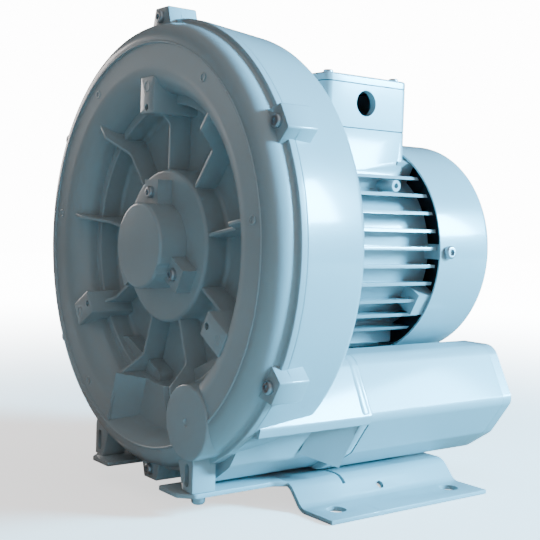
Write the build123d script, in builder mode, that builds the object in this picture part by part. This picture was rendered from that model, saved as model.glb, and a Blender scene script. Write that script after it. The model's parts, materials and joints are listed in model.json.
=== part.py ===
from build123d import *
from math import asin, cos, degrees, radians, sin
import os

os.makedirs("parts", exist_ok=True)

# Side channel blower with flange motor and two silencers, standing on a sheet foot.
# Millimetres, +Z up, front cover towards -Y, shaft along Y.
# Origin: middle of the four foot holes, on the floor.
# Lengths along the shaft are counted from the joint of cover and casing, towards the back.

# Outer radius of the round housing, which most sizes about it follow
FLANGE_R = 167.0

# Where the shaft lies
SHAFT_Z = FLANGE_R + 22.0
SPLIT_Y = -139.5

# Fits and small gaps
RUN_GAP = 0.05
SEAT_GAP = 0.02
REST_GAP = 0.3
GASKET = 0.8
WALL = 4.5

# Channel ring, shared by cover and casing
CHANNEL_OUT_R = FLANGE_R - 11.5
CHANNEL_IN_R = CHANNEL_OUT_R - 39.0
CHANNEL_FRONT = -17.2
CHANNEL_REAR = 52.0
CHANNEL_CORNER = 16.0
SEAL_CORD_R = FLANGE_R - 6.5
SEAL_CORD_W = 3.0
SEAL_CORD_DEPTH = 2.0

# Front cover
RING_FACE = -21.7
RING_OUT_R = FLANGE_R - 18.8
RING_LIP = 0.9
OUTER_ROUND = 15.0
FLANGE_T = 5.0
LEDGE_Y = -1.2
SHOULDER_R = CHANNEL_IN_R - 4.5
BAND_R = SHOULDER_R - 6.5
DISH_FLOOR = 16.5
HUB_R = 57.5
HUB_FACE = -3.5
HUB_ROUND = 3.0

# Cover ribs, pads and casting marks
RIB_COUNT = 9
RIB_T = 3.0
RIB_LOW = -0.8
RIB_HIGH = -18.2
RIB_KINK_IN = BAND_R - 14.5
RIB_KINK_OUT = BAND_R + 1.5
RIB_END_R = SHOULDER_R + 10.5
PAD_W = 19.5
PAD_IN_R = BAND_R - 8.5
PAD_OUT_R = PAD_IN_R + 27.0
PAD_FACE = -21.2
PAD_HOLE_R = PAD_IN_R + 4.5
PAD_THREAD_R = 2.5
PAD_THREAD_DEPTH = 12.0
MARK_R = 3.2
MARK_H = 0.6
MARK_RING_R = RING_OUT_R - 9.2
GATE_BOSS_R = 26.5
GATE_BOSS_AT = RING_OUT_R - 10.2
GATE_BOSS_ANGLE = -60.0
GATE_BOSS_H = 2.2
GATE_DIMPLE_R = 3.0
GATE_DIMPLE_DEPTH = 1.0
POCKET_OUT_R = RING_OUT_R - 9.2
POCKET_FLOOR = -2.0
POCKET_HALF_ANGLE = 18.6
GATE_HALF_ANGLE = 22.0
MARK_ANGLES = [57, 123, 9, 171, -54, 234]

# Cover lugs and their screws
LUG_COUNT = 6
LUG_OUT_R = FLANGE_R + 9.0
LUG_IN_R = FLANGE_R - 17.0
LUG_TIP_W = 15.0
LUG_ROOT_W = 27.0
LUG_FACE = -10.4
LUG_REAR = 14.0
LUG_SCREW_R = FLANGE_R + 1.5

# Screw sizes: shank radius, head radius, head height
M4_R = 2.0
M4_HEAD_R = 3.9
M4_HEAD_H = 2.6
M5_R = 2.5
M5_HEAD_R = 4.5
M5_HEAD_H = 3.4
M6_R = 3.0
M6_HEAD_R = 5.5
M6_HEAD_H = 4.2
BOLT_AF = 8.0
BOLT_HEAD_H = 3.5
FOOT_SCREW_HEAD_R = 5.0
FOOT_SCREW_HEAD = 6.0
HOLE_GAP = 0.3
SOCKET_SHARE = 0.5
THREAD_DEPTH = 10.0

# Bearing cap
CAP_R = 32.0
CAP_FACE = -25.8
CAP_WALL = 3.6
CAP_BLOCK_W = 19.0
CAP_BLOCK_R = 49.0
CAP_BLOCK_FACE = -15.5
CAP_SCREW_R = 39.5
CAP_RECESS_R = 9.0
CAP_ROUND = 2.5
CAP_SPIGOT_T = 3.0

# Ball bearing, both ends of the shaft
BEARING_IN_R = 12.5
BEARING_OUT_R = 26.0
BEARING_W = 15.0
BALL_R = 3.97
BALL_RING_R = 19.25
BALL_COUNT = 9
RACE_IN_R = 16.6
RACE_OUT_R = 21.9
CAGE_T = 1.6
CAGE_W = 9.6
FRONT_BEARING_Y = -2.5
REAR_BEARING_Y = 190.0

# Shaft and what it carries
SLEEVE_R = 15.0
SHAFT_R = 15.0
FAN_SEAT_R = 10.5
SHAFT_REAR = 236.0
IMPELLER_FRONT = 21.5
IMPELLER_HUB_R = 24.0
IMPELLER_HUB_END = 46.0
KEY_W = 8.0
KEY_H = 7.0
KEY_SUNK = 4.0
KEY_L = 18.0
END_WASHER_R = 16.0
END_WASHER_T = 3.0
END_SCREW_R = 4.0
END_SCREW_AF = 13.0
END_SCREW_HEAD = 5.3
END_SCREW_L = 24.0

# Shaft seals
SEAL_R = 20.0
SEAL_W = 6.2
SEAL_WALL = 2.0
SHOULDER_T = 1.7

# Impeller
WEB_FRONT = 24.0
WEB_REAR = 29.0
RIM_R = CHANNEL_IN_R - 4.5
RIM_T = 5.0
BLADE_R = CHANNEL_OUT_R - 3.5
BLADE_T = 2.4
BLADE_COUNT = 40
BLADE_GAP = 0.7
SEPTUM_R = CHANNEL_OUT_R - 14.5
IMPELLER_BORE_CLEAR = 1.0
SEPTUM_T = 2.4

# Casing behind the joint
CASING_REAR = 56.5
CASING_REAR_R = FLANGE_R - 6.0
CASING_ROUND = 8.0
CASING_FLOOR = 33.5
CASING_FLOOR_T = 5.0
MOTOR_RING_IN = 62.0
MOTOR_RING_OUT = 84.0
CASING_RIBS = 9
SEAL_HOUSING_R = 36.0
SEAL_HOUSING_END = 55.0

# Silencer tubes and the casing ducts that lead to them
DUCT_START = 22.0
DUCT_END = 105.0
DUCT_FLANGE_T = 9.0
SILENCER_END = 260.0
SILENCER_WALL = 3.2
SILENCER_INNER_X = 13.0
SILENCER_BOTTOM = -FLANGE_R - 1.0
SILENCER_TOP = -76.5
SILENCER_EAVE = -98.0
LEDGE_X = 100.0
LEDGE_Z = SILENCER_BOTTOM + 43.0
PORT_T = 10.0
PORT_BOSS_R = 30.0
PORT_BOSS_L = 12.0
PORT_R = 22.4
PORT_X = 62.0
PORT_RISE = 0.25
PORT_Z = (SILENCER_BOTTOM + SILENCER_TOP) / 2 + PORT_RISE
FOAM_GAP = 0.4
AIRWAY_R = 24.0

# Motor housing and its fins
MOTOR_FRONT = 60.0
MOTOR_REAR = 199.0
TUBE_IN_R = 66.0
TUBE_OUT_R = 70.5
FIN_R = 85.5
FIN_T = 2.6
FIN_PITCH = 14.1
FIN_TOP_Z = 59.0
FIN_SIDE_COUNT = 8
LOW_FIN_PITCH = 12.0
LOW_FIN_COUNT = 2
KEEL_FIN_COUNT = 6
KEEL_TOP_Z = -58.0
MOTOR_FLANGE_T = 6.0
MOTOR_SCREW_AT = 77.5
SPIGOT_L = 6.0
SPIGOT_T = 4.0
TIE_ANGLE = -29.5
TIE_R = 80.0
TIE_LUG_R = 88.0
TIE_LUG_W = 19.0
TIE_LUG_Y = 186.0
EYE_X = 69.0
EYE_Y = 168.0
EYE_Z = 51.8
EYE_R = 4.6
EYE_HOLE_R = 2.1

# Stator and rotor
AIR_GAP = 0.5
ROTOR_R = 44.0
STACK_FRONT = 86.0
STACK_REAR = 172.0
COIL_IN_R = 48.0
COIL_OUT_R = 61.0
COIL_L = 17.0
END_RING_IN_R = 30.0
END_RING_L = 8.0

# Rear end shield, fan and cowl
SHIELD_T = 6.0
SHIELD_HUB_R = 31.0
SPRING_T = 1.5
ARM_W = 12.0
ARM_Y = 208.0
FAN_FRONT = 214.0
FAN_REAR = 234.0
FAN_HUB_R = 15.0
FAN_R = 76.0
FAN_PLATE_R = 50.0
FAN_PLATE_T = 2.5
FAN_BLADES = 8
FAN_BLADE_T = 2.5
FAN_CLIP_T = 1.2
FAN_CLIP_R = 15.0
COWL_R = 90.6
COWL_T = 1.5
COWL_FRONT = 198.6
COWL_REAR = 259.5
COWL_ROUND = 7.0
GRILLE_RINGS = 5
GRILLE_FIRST_R = 16.0
GRILLE_PITCH = 10.5
GRILLE_SLOT = 5.0
GRILLE_BRIDGES = 6
GRILLE_BRIDGE_W = 6.0

# Terminal box
BOX_HALF_X = 50.0
BOX_FRONT = 108.0
BOX_REAR = 196.0
NECK_BOTTOM = 56.0
NECK_TOP = 96.0
BOX_TOP = 131.0
LID_TOP = 138.0
BOX_WALL = 3.5
BOX_CORNER = 7.0
CABLE_R = 10.25
CABLE_Y = 150.0
CABLE_Z = 116.5
CABLE_BOSS_R = 14.0
CABLE_BOSS_T = 3.0
WIRE_DUCT_X = 44.0
WIRE_DUCT_Y = 40.0
LID_SCREW_INSET = 9.0
BOX_POST_R = 5.6
BOARD_X = 52.0
BOARD_Y = 34.0
BOARD_T = 10.0
STUD_R = 2.5
STUD_L = 18.0
STUD_PITCH = 16.0
STUD_ROW = 14.0
NUT_AF = 8.0
NUT_H = 4.0
BOX_SCREW_X = 33.0
BOX_SCREW_Y = 26.0

# Sheet foot
SHEET_T = 3.5
WEB_TOP = SILENCER_BOTTOM - 2.0
WEB_HALF_X = 82.0
FOOT_HALF_X = 130.0
RISER_RUN = 14.0
FOOT_FRONT = 60.0
FOOT_REAR = 220.0
TONGUE_FRONT = -26.0
TONGUE_OUT_X = 73.0
TONGUE_IN_X = 38.0
TONGUE_CHAMFER = 10.0
CUTOUT_REAR = 52.0
BEND_R = 6.0
FOOT_HOLE_X = 110.0
FOOT_HOLE_PITCH_Y = 117.0
FOOT_HOLE_R = 7.5
SLIT_W = 3.0
SLIT_Y = 108.0
SLIT_IN_X = 62.0
SLIT_OUT_X = 87.0
RISER_HOLE_R = 2.5
RISER_HOLE_X = 91.6
RISER_HOLE_Y = 141.6

# Foot lugs of the cover
FOOT_LUG_IN_X = 59.0
FOOT_LUG_OUT_X = 72.5
FOOT_LUG_FRONT = -19.0
FOOT_LUG_TOP = WEB_TOP + 50.0
FOOT_LUG_SHOULDER = WEB_TOP + 24.0
LUG_SLOT_W = 5.5
LUG_SLOT_L = 20.0
LUG_SLOT_DEPTH = 5.0
FOOT_SCREW_X = 65.0
FOOT_SCREW_Y = -9.0
REAR_SCREW_X = 40.0
REAR_SCREW_Y = 190.0
FOOT_PAD_R = 9.0

SECTION = Plane(origin=(0, SPLIT_Y, SHAFT_Z), x_dir=(0, 1, 0), z_dir=(1, 0, 0))
SHAFT = Axis((0, SPLIT_Y, SHAFT_Z), (0, 1, 0))
LUG_ANGLES = [90 + 360 / LUG_COUNT * k for k in range(LUG_COUNT)]
PAD_ANGLES = [90, -30, -150]
RIB_ANGLES = [90 + 360 / RIB_COUNT * k for k in range(RIB_COUNT)]
TIE_ANGLES = [TIE_ANGLE + 90 * k for k in range(4)]


def facing(along):
    """Plane across the shaft, seen from the front: local x is +X, local y is +Z."""
    return Plane(origin=(0, SPLIT_Y + along, SHAFT_Z), x_dir=(1, 0, 0), z_dir=(0, -1, 0))


def side_plane(x):
    """Plane square to X: local x runs back along the shaft, local y is +Z."""
    return Plane(origin=(x, SPLIT_Y, SHAFT_Z), x_dir=(0, 1, 0), z_dir=(1, 0, 0))


def level(height):
    """Level plane at a height over the shaft axis: local x is +X, local y runs back."""
    return Plane(origin=(0, SPLIT_Y, SHAFT_Z + height), x_dir=(1, 0, 0), z_dir=(0, 0, 1))


def around(radius, angle):
    """Point at a radius and an angle about the shaft, in a facing plane."""
    return radius * cos(radians(angle)), radius * sin(radians(angle))


def front_at(radius, angle, along):
    """Place on the shaft's polar grid whose z axis points to the front."""
    x, z = around(radius, angle)
    return Location(Plane(origin=(x, SPLIT_Y + along, SHAFT_Z + z), x_dir=(1, 0, 0), z_dir=(0, -1, 0)))


def rear_at(x, z, along):
    """Place whose z axis points to the back."""
    return Location(Plane(origin=(x, SPLIT_Y + along, SHAFT_Z + z), x_dir=(-1, 0, 0), z_dir=(0, 1, 0)))


def turned(points, radius=None, corners=()):
    """Ring about the shaft from points (along, radius), some corners rounded."""
    with BuildPart() as ring:
        with BuildSketch(SECTION) as outline:
            Polygon(*points, align=None)
            for spot in corners:
                fillet(outline.vertices().sort_by_distance((*spot, 0))[0], radius)
        revolve(axis=SHAFT)
    return ring.part


def pan_screw(shank_r, head_r, head_h, length):
    """Pan-head screw with a hexagon socket: head seat at z = 0, shank below it."""
    with BuildPart() as screw:
        with BuildSketch(Plane.XY):
            Circle(head_r)
        extrude(amount=head_h)
        fillet(screw.edges().sort_by(Axis.Z)[-1], head_h * 0.45)
        with BuildSketch(Plane.XY.offset(head_h)):
            RegularPolygon(head_r * SOCKET_SHARE, 6)
        extrude(amount=-head_h * SOCKET_SHARE, mode=Mode.SUBTRACT)
        with BuildSketch(Plane.XY):
            Circle(shank_r)
        extrude(amount=-length)
    return screw.part


def hex_screw(shank_r, across_flats, head_h, length):
    """Hexagon screw: head seat at z = 0, shank below it."""
    with BuildPart() as screw:
        with BuildSketch(Plane.XY):
            RegularPolygon(across_flats / 2, 6, major_radius=False)
        extrude(amount=head_h)
        with BuildSketch(Plane.XY):
            Circle(shank_r)
        extrude(amount=-length)
    return screw.part


def rounded(points, radii):
    """Closed outline through points, each corner with its own radius."""
    with BuildSketch() as outline:
        Polygon(*points, align=None)
        for spot, radius in zip(points, radii):
            fillet(outline.vertices().sort_by_distance((*spot, 0))[0], radius)
    return outline.sketch


def rib_plane(angle):
    """Plane through the shaft axis: local x runs back, local y points out at the angle."""
    turn = radians(angle)
    return Plane(origin=(0, SPLIT_Y, SHAFT_Z), x_dir=(0, 1, 0), z_dir=(sin(turn), 0, -cos(turn)))


def radial_at(radius, angle, along):
    """Place whose z axis points away from the shaft."""
    x, z = around(radius, angle)
    return Location(Plane(origin=(x, SPLIT_Y + along, SHAFT_Z + z), x_dir=(0, 1, 0), z_dir=(x, 0, z)))


def lifted(x, along, height):
    """Place over the floor whose z axis points up."""
    return Location((x, SPLIT_Y + along, SHAFT_Z + height))


def below(x, along, height):
    """Place over the floor whose z axis points down."""
    return Location((x, SPLIT_Y + along, SHAFT_Z + height), (180, 0, 0))


# Sections of the silencer tube and of the duct that feeds it, right-hand side
DUCT_POINTS = [(SILENCER_INNER_X, SILENCER_BOTTOM), (70, SILENCER_BOTTOM), (98, SILENCER_BOTTOM + 18.5),
               (119.5, SILENCER_BOTTOM + 48.5), (97.5, SILENCER_TOP), (64, SILENCER_TOP),
               (SILENCER_INNER_X, SILENCER_EAVE)]
DUCT_RADII = [6, 22, 12, 9, 14, 8, 6]
NARROW_POINTS = [(SILENCER_INNER_X, SILENCER_BOTTOM), (60, SILENCER_BOTTOM), (84, SILENCER_BOTTOM + 17),
                 (LEDGE_X, LEDGE_Z), (116.5, LEDGE_Z), (118.5, LEDGE_Z + 6.5), (97.5, SILENCER_TOP),
                 (64, SILENCER_TOP), (SILENCER_INNER_X, SILENCER_EAVE)]
NARROW_RADII = [6, 18, 12, 3, 1.5, 3, 14, 8, 6]
BORE_POINTS = [(SILENCER_INNER_X + WALL, SILENCER_BOTTOM + WALL), (59, SILENCER_BOTTOM + WALL),
               (81, SILENCER_BOTTOM + 21), (103, SILENCER_BOTTOM + 50), (91, SILENCER_TOP - WALL),
               (65, SILENCER_TOP - WALL), (SILENCER_INNER_X + WALL, SILENCER_EAVE - 3)]
BORE_RADII = [4, 14, 10, 8, 10, 6, 4]
BOLT_SPOTS = [(20.5, SILENCER_BOTTOM + 8), (21.0, SILENCER_EAVE - 4.5), (92.0, SILENCER_TOP - 9),
              (94.5, SILENCER_BOTTOM + 25.5)]
duct_outline = rounded(DUCT_POINTS, DUCT_RADII)
narrow_outline = rounded(NARROW_POINTS, NARROW_RADII)
duct_bore = rounded(BORE_POINTS, BORE_RADII)

# Front cover: half of the channel ring, dish, hub, ribs, pads and lugs
HUB_BORE_REAR = FRONT_BEARING_Y + BEARING_W
SEAL_FRONT = HUB_BORE_REAR + SHOULDER_T
COVER_REAR = DISH_FLOOR + WALL
OUTER_FRONT = RING_FACE - RING_LIP
OUTER_END_R = RING_OUT_R + OUTER_ROUND
SHOULDER_ROUND = LEDGE_Y - RING_FACE
CHANNEL_BEND_Y = CHANNEL_FRONT + CHANNEL_CORNER
LEDGE_REAR = LEDGE_Y + WALL
LUG_OUTLINE = [(LUG_IN_R, -LUG_ROOT_W / 2), (LUG_OUT_R, -LUG_TIP_W / 2),
               (LUG_OUT_R, LUG_TIP_W / 2), (LUG_IN_R, LUG_ROOT_W / 2)]
RIB_OUTLINE = [(DISH_FLOOR + 1, HUB_R - 1), (RIB_LOW, HUB_R - 1), (RIB_LOW, RIB_KINK_IN),
               (RIB_HIGH, RIB_KINK_OUT), (RIB_HIGH, RIB_END_R), (LEDGE_Y, SHOULDER_R + 2),
               (LEDGE_Y + 2, SHOULDER_R + 2), (LEDGE_Y + 2, BAND_R + 2), (DISH_FLOOR + 1, BAND_R + 2)]
with BuildPart() as cover:
    with BuildSketch(SECTION) as cover_section:
        with BuildLine():
            Polyline((HUB_FACE, BEARING_OUT_R), (HUB_FACE, HUB_R), (DISH_FLOOR, HUB_R),
                     (DISH_FLOOR, BAND_R), (LEDGE_Y, BAND_R), (LEDGE_Y, SHOULDER_R))
            RadiusArc((LEDGE_Y, SHOULDER_R), (RING_FACE, SHOULDER_R + SHOULDER_ROUND), SHOULDER_ROUND)
            Polyline((RING_FACE, SHOULDER_R + SHOULDER_ROUND), (RING_FACE, RING_OUT_R),
                     (OUTER_FRONT, RING_OUT_R))
            RadiusArc((OUTER_FRONT, RING_OUT_R), (OUTER_FRONT + OUTER_ROUND, OUTER_END_R), OUTER_ROUND)
            Polyline((OUTER_FRONT + OUTER_ROUND, OUTER_END_R), (-FLANGE_T, OUTER_END_R),
                     (-FLANGE_T, FLANGE_R), (0, FLANGE_R), (0, CHANNEL_IN_R), (LEDGE_REAR, CHANNEL_IN_R),
                     (LEDGE_REAR, BAND_R + WALL), (COVER_REAR, BAND_R + WALL), (COVER_REAR, SEAL_R),
                     (SEAL_FRONT, SEAL_R), (SEAL_FRONT, SLEEVE_R + REST_GAP),
                     (HUB_BORE_REAR, SLEEVE_R + REST_GAP), (HUB_BORE_REAR, BEARING_OUT_R),
                     (HUB_FACE, BEARING_OUT_R))
        make_face()
        fillet(cover_section.vertices().sort_by_distance((HUB_FACE, HUB_R, 0))[0], HUB_ROUND)
    revolve(axis=SHAFT)
    # Bottom sector behind the gate, where the channel is closed
    with BuildSketch(facing(LEDGE_REAR)):
        Circle(CHANNEL_OUT_R)
        Circle(BAND_R + WALL, mode=Mode.SUBTRACT)
        with BuildLine():
            Polyline((0, 0), around(2 * FLANGE_R, -90 - GATE_HALF_ANGLE),
                     around(2 * FLANGE_R, -90 + GATE_HALF_ANGLE), (0, 0))
        make_face(mode=Mode.INTERSECT)
    extrude(amount=LEDGE_REAR)
    # Pads for accessories and the big round boss
    with BuildSketch(facing(PAD_FACE)):
        for angle in PAD_ANGLES:
            with Locations(Location((0, 0, 0), (0, 0, angle))):
                with Locations(((PAD_IN_R + PAD_OUT_R) / 2, 0)):
                    Rectangle(PAD_OUT_R - PAD_IN_R, PAD_W)
    extrude(amount=PAD_FACE - DISH_FLOOR - 1)
    with BuildSketch(facing(RING_FACE - GATE_BOSS_H)):
        with Locations(around(GATE_BOSS_AT, GATE_BOSS_ANGLE)):
            Circle(GATE_BOSS_R)
    extrude(amount=RING_FACE - GATE_BOSS_H - LEDGE_Y)
    # Lugs for the cover screws and for the foot
    with BuildSketch(facing(LUG_FACE)):
        for angle in LUG_ANGLES:
            with Locations(Location((0, 0, 0), (0, 0, angle))):
                Polygon(*LUG_OUTLINE, align=None)
    extrude(amount=LUG_FACE)
    with BuildSketch(facing(FOOT_LUG_FRONT)):
        Polygon((FOOT_LUG_IN_X, WEB_TOP), (FOOT_LUG_OUT_X, WEB_TOP), (FOOT_LUG_OUT_X, FOOT_LUG_SHOULDER),
                (FOOT_LUG_OUT_X - 8, FOOT_LUG_TOP), (FOOT_LUG_IN_X - 16, FOOT_LUG_TOP), align=None)
        mirror(about=Plane.YZ)
    extrude(amount=FOOT_LUG_FRONT)
    with BuildSketch(facing(FOOT_LUG_FRONT)):
        with Locations(*[(side * FOOT_SCREW_X, WEB_TOP + LUG_SLOT_L / 2) for side in (1, -1)]):
            Rectangle(LUG_SLOT_W, LUG_SLOT_L)
    extrude(amount=-LUG_SLOT_DEPTH, mode=Mode.SUBTRACT)
    # Half channel, all round but for the gate
    with BuildSketch(rib_plane(-90 - GATE_HALF_ANGLE)):
        with BuildLine():
            Polyline((0, CHANNEL_OUT_R), (CHANNEL_BEND_Y, CHANNEL_OUT_R))
            RadiusArc((CHANNEL_BEND_Y, CHANNEL_OUT_R), (CHANNEL_FRONT, CHANNEL_OUT_R - CHANNEL_CORNER),
                      -CHANNEL_CORNER)
            Line((CHANNEL_FRONT, CHANNEL_OUT_R - CHANNEL_CORNER),
                 (CHANNEL_FRONT, CHANNEL_IN_R + CHANNEL_CORNER))
            RadiusArc((CHANNEL_FRONT, CHANNEL_IN_R + CHANNEL_CORNER), (CHANNEL_BEND_Y, CHANNEL_IN_R),
                      -CHANNEL_CORNER)
            Polyline((CHANNEL_BEND_Y, CHANNEL_IN_R), (LEDGE_REAR, CHANNEL_IN_R), (LEDGE_REAR, BAND_R + WALL),
                     (COVER_REAR, BAND_R + WALL), (COVER_REAR, CHANNEL_OUT_R), (0, CHANNEL_OUT_R))
        make_face()
    revolve(axis=SHAFT, revolution_arc=360 - 2 * GATE_HALF_ANGLE, mode=Mode.SUBTRACT)
    # Front pocket over the gate
    with BuildSketch(facing(2 * CAP_FACE)):
        Circle(POCKET_OUT_R)
        Circle(BAND_R - 1, mode=Mode.SUBTRACT)
        with BuildLine():
            Polyline((0, 0), around(2 * FLANGE_R, -90 - POCKET_HALF_ANGLE),
                     around(2 * FLANGE_R, -90 + POCKET_HALF_ANGLE), (0, 0))
        make_face(mode=Mode.INTERSECT)
        with Locations(around(GATE_BOSS_AT, GATE_BOSS_ANGLE)):
            Circle(GATE_BOSS_R, mode=Mode.SUBTRACT)
    extrude(amount=2 * CAP_FACE - POCKET_FLOOR, mode=Mode.SUBTRACT)
    # Ribs from the hub to the channel wall
    with BuildSketch(*[rib_plane(angle) for angle in RIB_ANGLES]):
        Polygon(*RIB_OUTLINE, align=None)
    extrude(amount=RIB_T / 2, both=True)
    # Casting marks, dimple and threaded holes
    with BuildSketch(facing(RING_FACE)):
        with Locations(*[around(MARK_RING_R, angle) for angle in MARK_ANGLES]):
            Circle(MARK_R)
    extrude(amount=MARK_H)
    with BuildSketch(facing(RING_FACE - GATE_BOSS_H)):
        with Locations(around(GATE_BOSS_AT, GATE_BOSS_ANGLE)):
            Circle(GATE_DIMPLE_R)
    extrude(amount=-GATE_DIMPLE_DEPTH, mode=Mode.SUBTRACT)
    with Locations(*[front_at(PAD_HOLE_R, angle, PAD_FACE) for angle in PAD_ANGLES]):
        Hole(PAD_THREAD_R, depth=PAD_THREAD_DEPTH)
    with Locations(*[front_at(LUG_SCREW_R, angle, LUG_FACE) for angle in LUG_ANGLES]):
        Hole(M5_R + HOLE_GAP, depth=-LUG_FACE)
    with Locations(*[front_at(CAP_SCREW_R, angle, HUB_FACE) for angle in PAD_ANGLES]):
        Hole(M5_R + SEAT_GAP, depth=THREAD_DEPTH + 1)
    with Locations(*[below(side * FOOT_SCREW_X, FOOT_SCREW_Y, WEB_TOP) for side in (1, -1)]):
        Hole(M6_R + SEAT_GAP, depth=THREAD_DEPTH + 2)
cover.part.label = "cover"
export_step(cover.part, "parts/cover.step")

# Casing: rear half of the channel, motor seat, lugs and the two ducts
IMPELLER_MID = (CHANNEL_FRONT + CHANNEL_REAR) / 2
BLADE_FRONT = LEDGE_REAR + BLADE_GAP
BLADE_REAR = 2 * IMPELLER_MID - BLADE_FRONT
NOSE_Y = BLADE_REAR + BLADE_GAP
FLOOR_REAR = CASING_FLOOR + CASING_FLOOR_T
SEAL_SEAT = SEAL_HOUSING_END - SEAL_W - 1
CHANNEL_BACK_BEND = CHANNEL_REAR - CHANNEL_CORNER
MOTOR_SCREW_ANGLES = [90, -90]
for steps in (1.5, 6.5):
    half_way = degrees(asin((FIN_TOP_Z - steps * FIN_PITCH) / MOTOR_SCREW_AT))
    MOTOR_SCREW_ANGLES += [half_way, 180 - half_way]
with BuildPart() as casing:
    with BuildSketch(SECTION) as casing_section:
        Polygon((0, FLANGE_R), (CASING_REAR, CASING_REAR_R), (CASING_REAR, CHANNEL_IN_R - WALL),
                (FLOOR_REAR, CHANNEL_IN_R - WALL), (FLOOR_REAR, MOTOR_RING_OUT),
                (MOTOR_FRONT, MOTOR_RING_OUT), (MOTOR_FRONT, MOTOR_RING_IN), (FLOOR_REAR, MOTOR_RING_IN),
                (FLOOR_REAR, SEAL_HOUSING_R), (SEAL_HOUSING_END, SEAL_HOUSING_R),
                (SEAL_HOUSING_END, SEAL_R), (SEAL_SEAT, SEAL_R), (SEAL_SEAT, SHAFT_R + REST_GAP),
                (IMPELLER_HUB_END + IMPELLER_BORE_CLEAR, SHAFT_R + REST_GAP),
                (IMPELLER_HUB_END + IMPELLER_BORE_CLEAR, IMPELLER_HUB_R + IMPELLER_BORE_CLEAR),
                (CASING_FLOOR, IMPELLER_HUB_R + IMPELLER_BORE_CLEAR), (CASING_FLOOR, BAND_R + WALL),
                (NOSE_Y, BAND_R + WALL), (NOSE_Y, CHANNEL_OUT_R), (0, CHANNEL_OUT_R), align=None)
        fillet(casing_section.vertices().sort_by_distance((CASING_REAR, CASING_REAR_R, 0))[0], CASING_ROUND)
    revolve(axis=SHAFT)
    with BuildSketch(facing(0)):
        for angle in LUG_ANGLES:
            with Locations(Location((0, 0, 0), (0, 0, angle))):
                Polygon(*LUG_OUTLINE, align=None)
        Circle(CHANNEL_OUT_R, mode=Mode.SUBTRACT)
    extrude(amount=-LUG_REAR)
    # Stiffening ribs between the channel and the motor seat
    with BuildSketch(facing(FLOOR_REAR)):
        for k in range(CASING_RIBS):
            with Locations(Location((0, 0, 0), (0, 0, 90 + 360 / CASING_RIBS * k))):
                with Locations(((MOTOR_RING_OUT + CHANNEL_IN_R - WALL) / 2, 0)):
                    Rectangle(CHANNEL_IN_R - WALL - MOTOR_RING_OUT + 2, WALL)
    extrude(amount=FLOOR_REAR - CHANNEL_REAR)
    # Mouths of the two ducts in the back wall
    with BuildSketch(facing(DUCT_START)):
        add(narrow_outline)
        mirror(about=Plane.YZ)
        Circle(CHANNEL_OUT_R, mode=Mode.SUBTRACT)
    extrude(amount=DUCT_START - CASING_REAR)
    with BuildSketch(facing(FLOOR_REAR)):
        add(duct_bore)
        mirror(about=Plane.YZ)
    extrude(amount=FLOOR_REAR - CASING_REAR, mode=Mode.SUBTRACT)
    # Rear half of the channel, all round but for the gate
    with BuildSketch(rib_plane(-90 - GATE_HALF_ANGLE)):
        with BuildLine():
            Polyline((NOSE_Y - 1, CHANNEL_IN_R), (CHANNEL_BACK_BEND, CHANNEL_IN_R))
            RadiusArc((CHANNEL_BACK_BEND, CHANNEL_IN_R), (CHANNEL_REAR, CHANNEL_IN_R + CHANNEL_CORNER),
                      -CHANNEL_CORNER)
            Line((CHANNEL_REAR, CHANNEL_IN_R + CHANNEL_CORNER), (CHANNEL_REAR, CHANNEL_OUT_R - CHANNEL_CORNER))
            RadiusArc((CHANNEL_REAR, CHANNEL_OUT_R - CHANNEL_CORNER), (CHANNEL_BACK_BEND, CHANNEL_OUT_R),
                      -CHANNEL_CORNER)
            Polyline((CHANNEL_BACK_BEND, CHANNEL_OUT_R), (NOSE_Y - 1, CHANNEL_OUT_R),
                     (NOSE_Y - 1, CHANNEL_IN_R))
        make_face()
    revolve(axis=SHAFT, revolution_arc=360 - 2 * GATE_HALF_ANGLE, mode=Mode.SUBTRACT)
    # Groove for the sealing cord, threaded holes
    with BuildSketch(facing(0)):
        Circle(SEAL_CORD_R + SEAL_CORD_W / 2)
        Circle(SEAL_CORD_R - SEAL_CORD_W / 2, mode=Mode.SUBTRACT)
    extrude(amount=-SEAL_CORD_DEPTH, mode=Mode.SUBTRACT)
    with Locations(*[front_at(LUG_SCREW_R, angle, 0) for angle in LUG_ANGLES]):
        Hole(M5_R + SEAT_GAP, depth=THREAD_DEPTH + 2)
    with Locations(*[rear_at(*around(MOTOR_SCREW_AT, angle), MOTOR_FRONT) for angle in MOTOR_SCREW_ANGLES]):
        Hole(M5_R + SEAT_GAP, depth=THREAD_DEPTH + 2)
casing.part.label = "casing"
export_step(casing.part, "parts/casing.step")

# Sealing cord in the casing's flange
channel_seal_ring = turned([(0, SEAL_CORD_R - SEAL_CORD_W / 2 + SEAT_GAP),
                            (0, SEAL_CORD_R + SEAL_CORD_W / 2 - SEAT_GAP),
                            (SEAL_CORD_DEPTH - SEAT_GAP, SEAL_CORD_R + SEAL_CORD_W / 2 - SEAT_GAP),
                            (SEAL_CORD_DEPTH - SEAT_GAP, SEAL_CORD_R - SEAL_CORD_W / 2 + SEAT_GAP)])
channel_seal_ring.label = "channel_seal"
export_step(channel_seal_ring, "parts/channel_seal.step")

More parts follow.
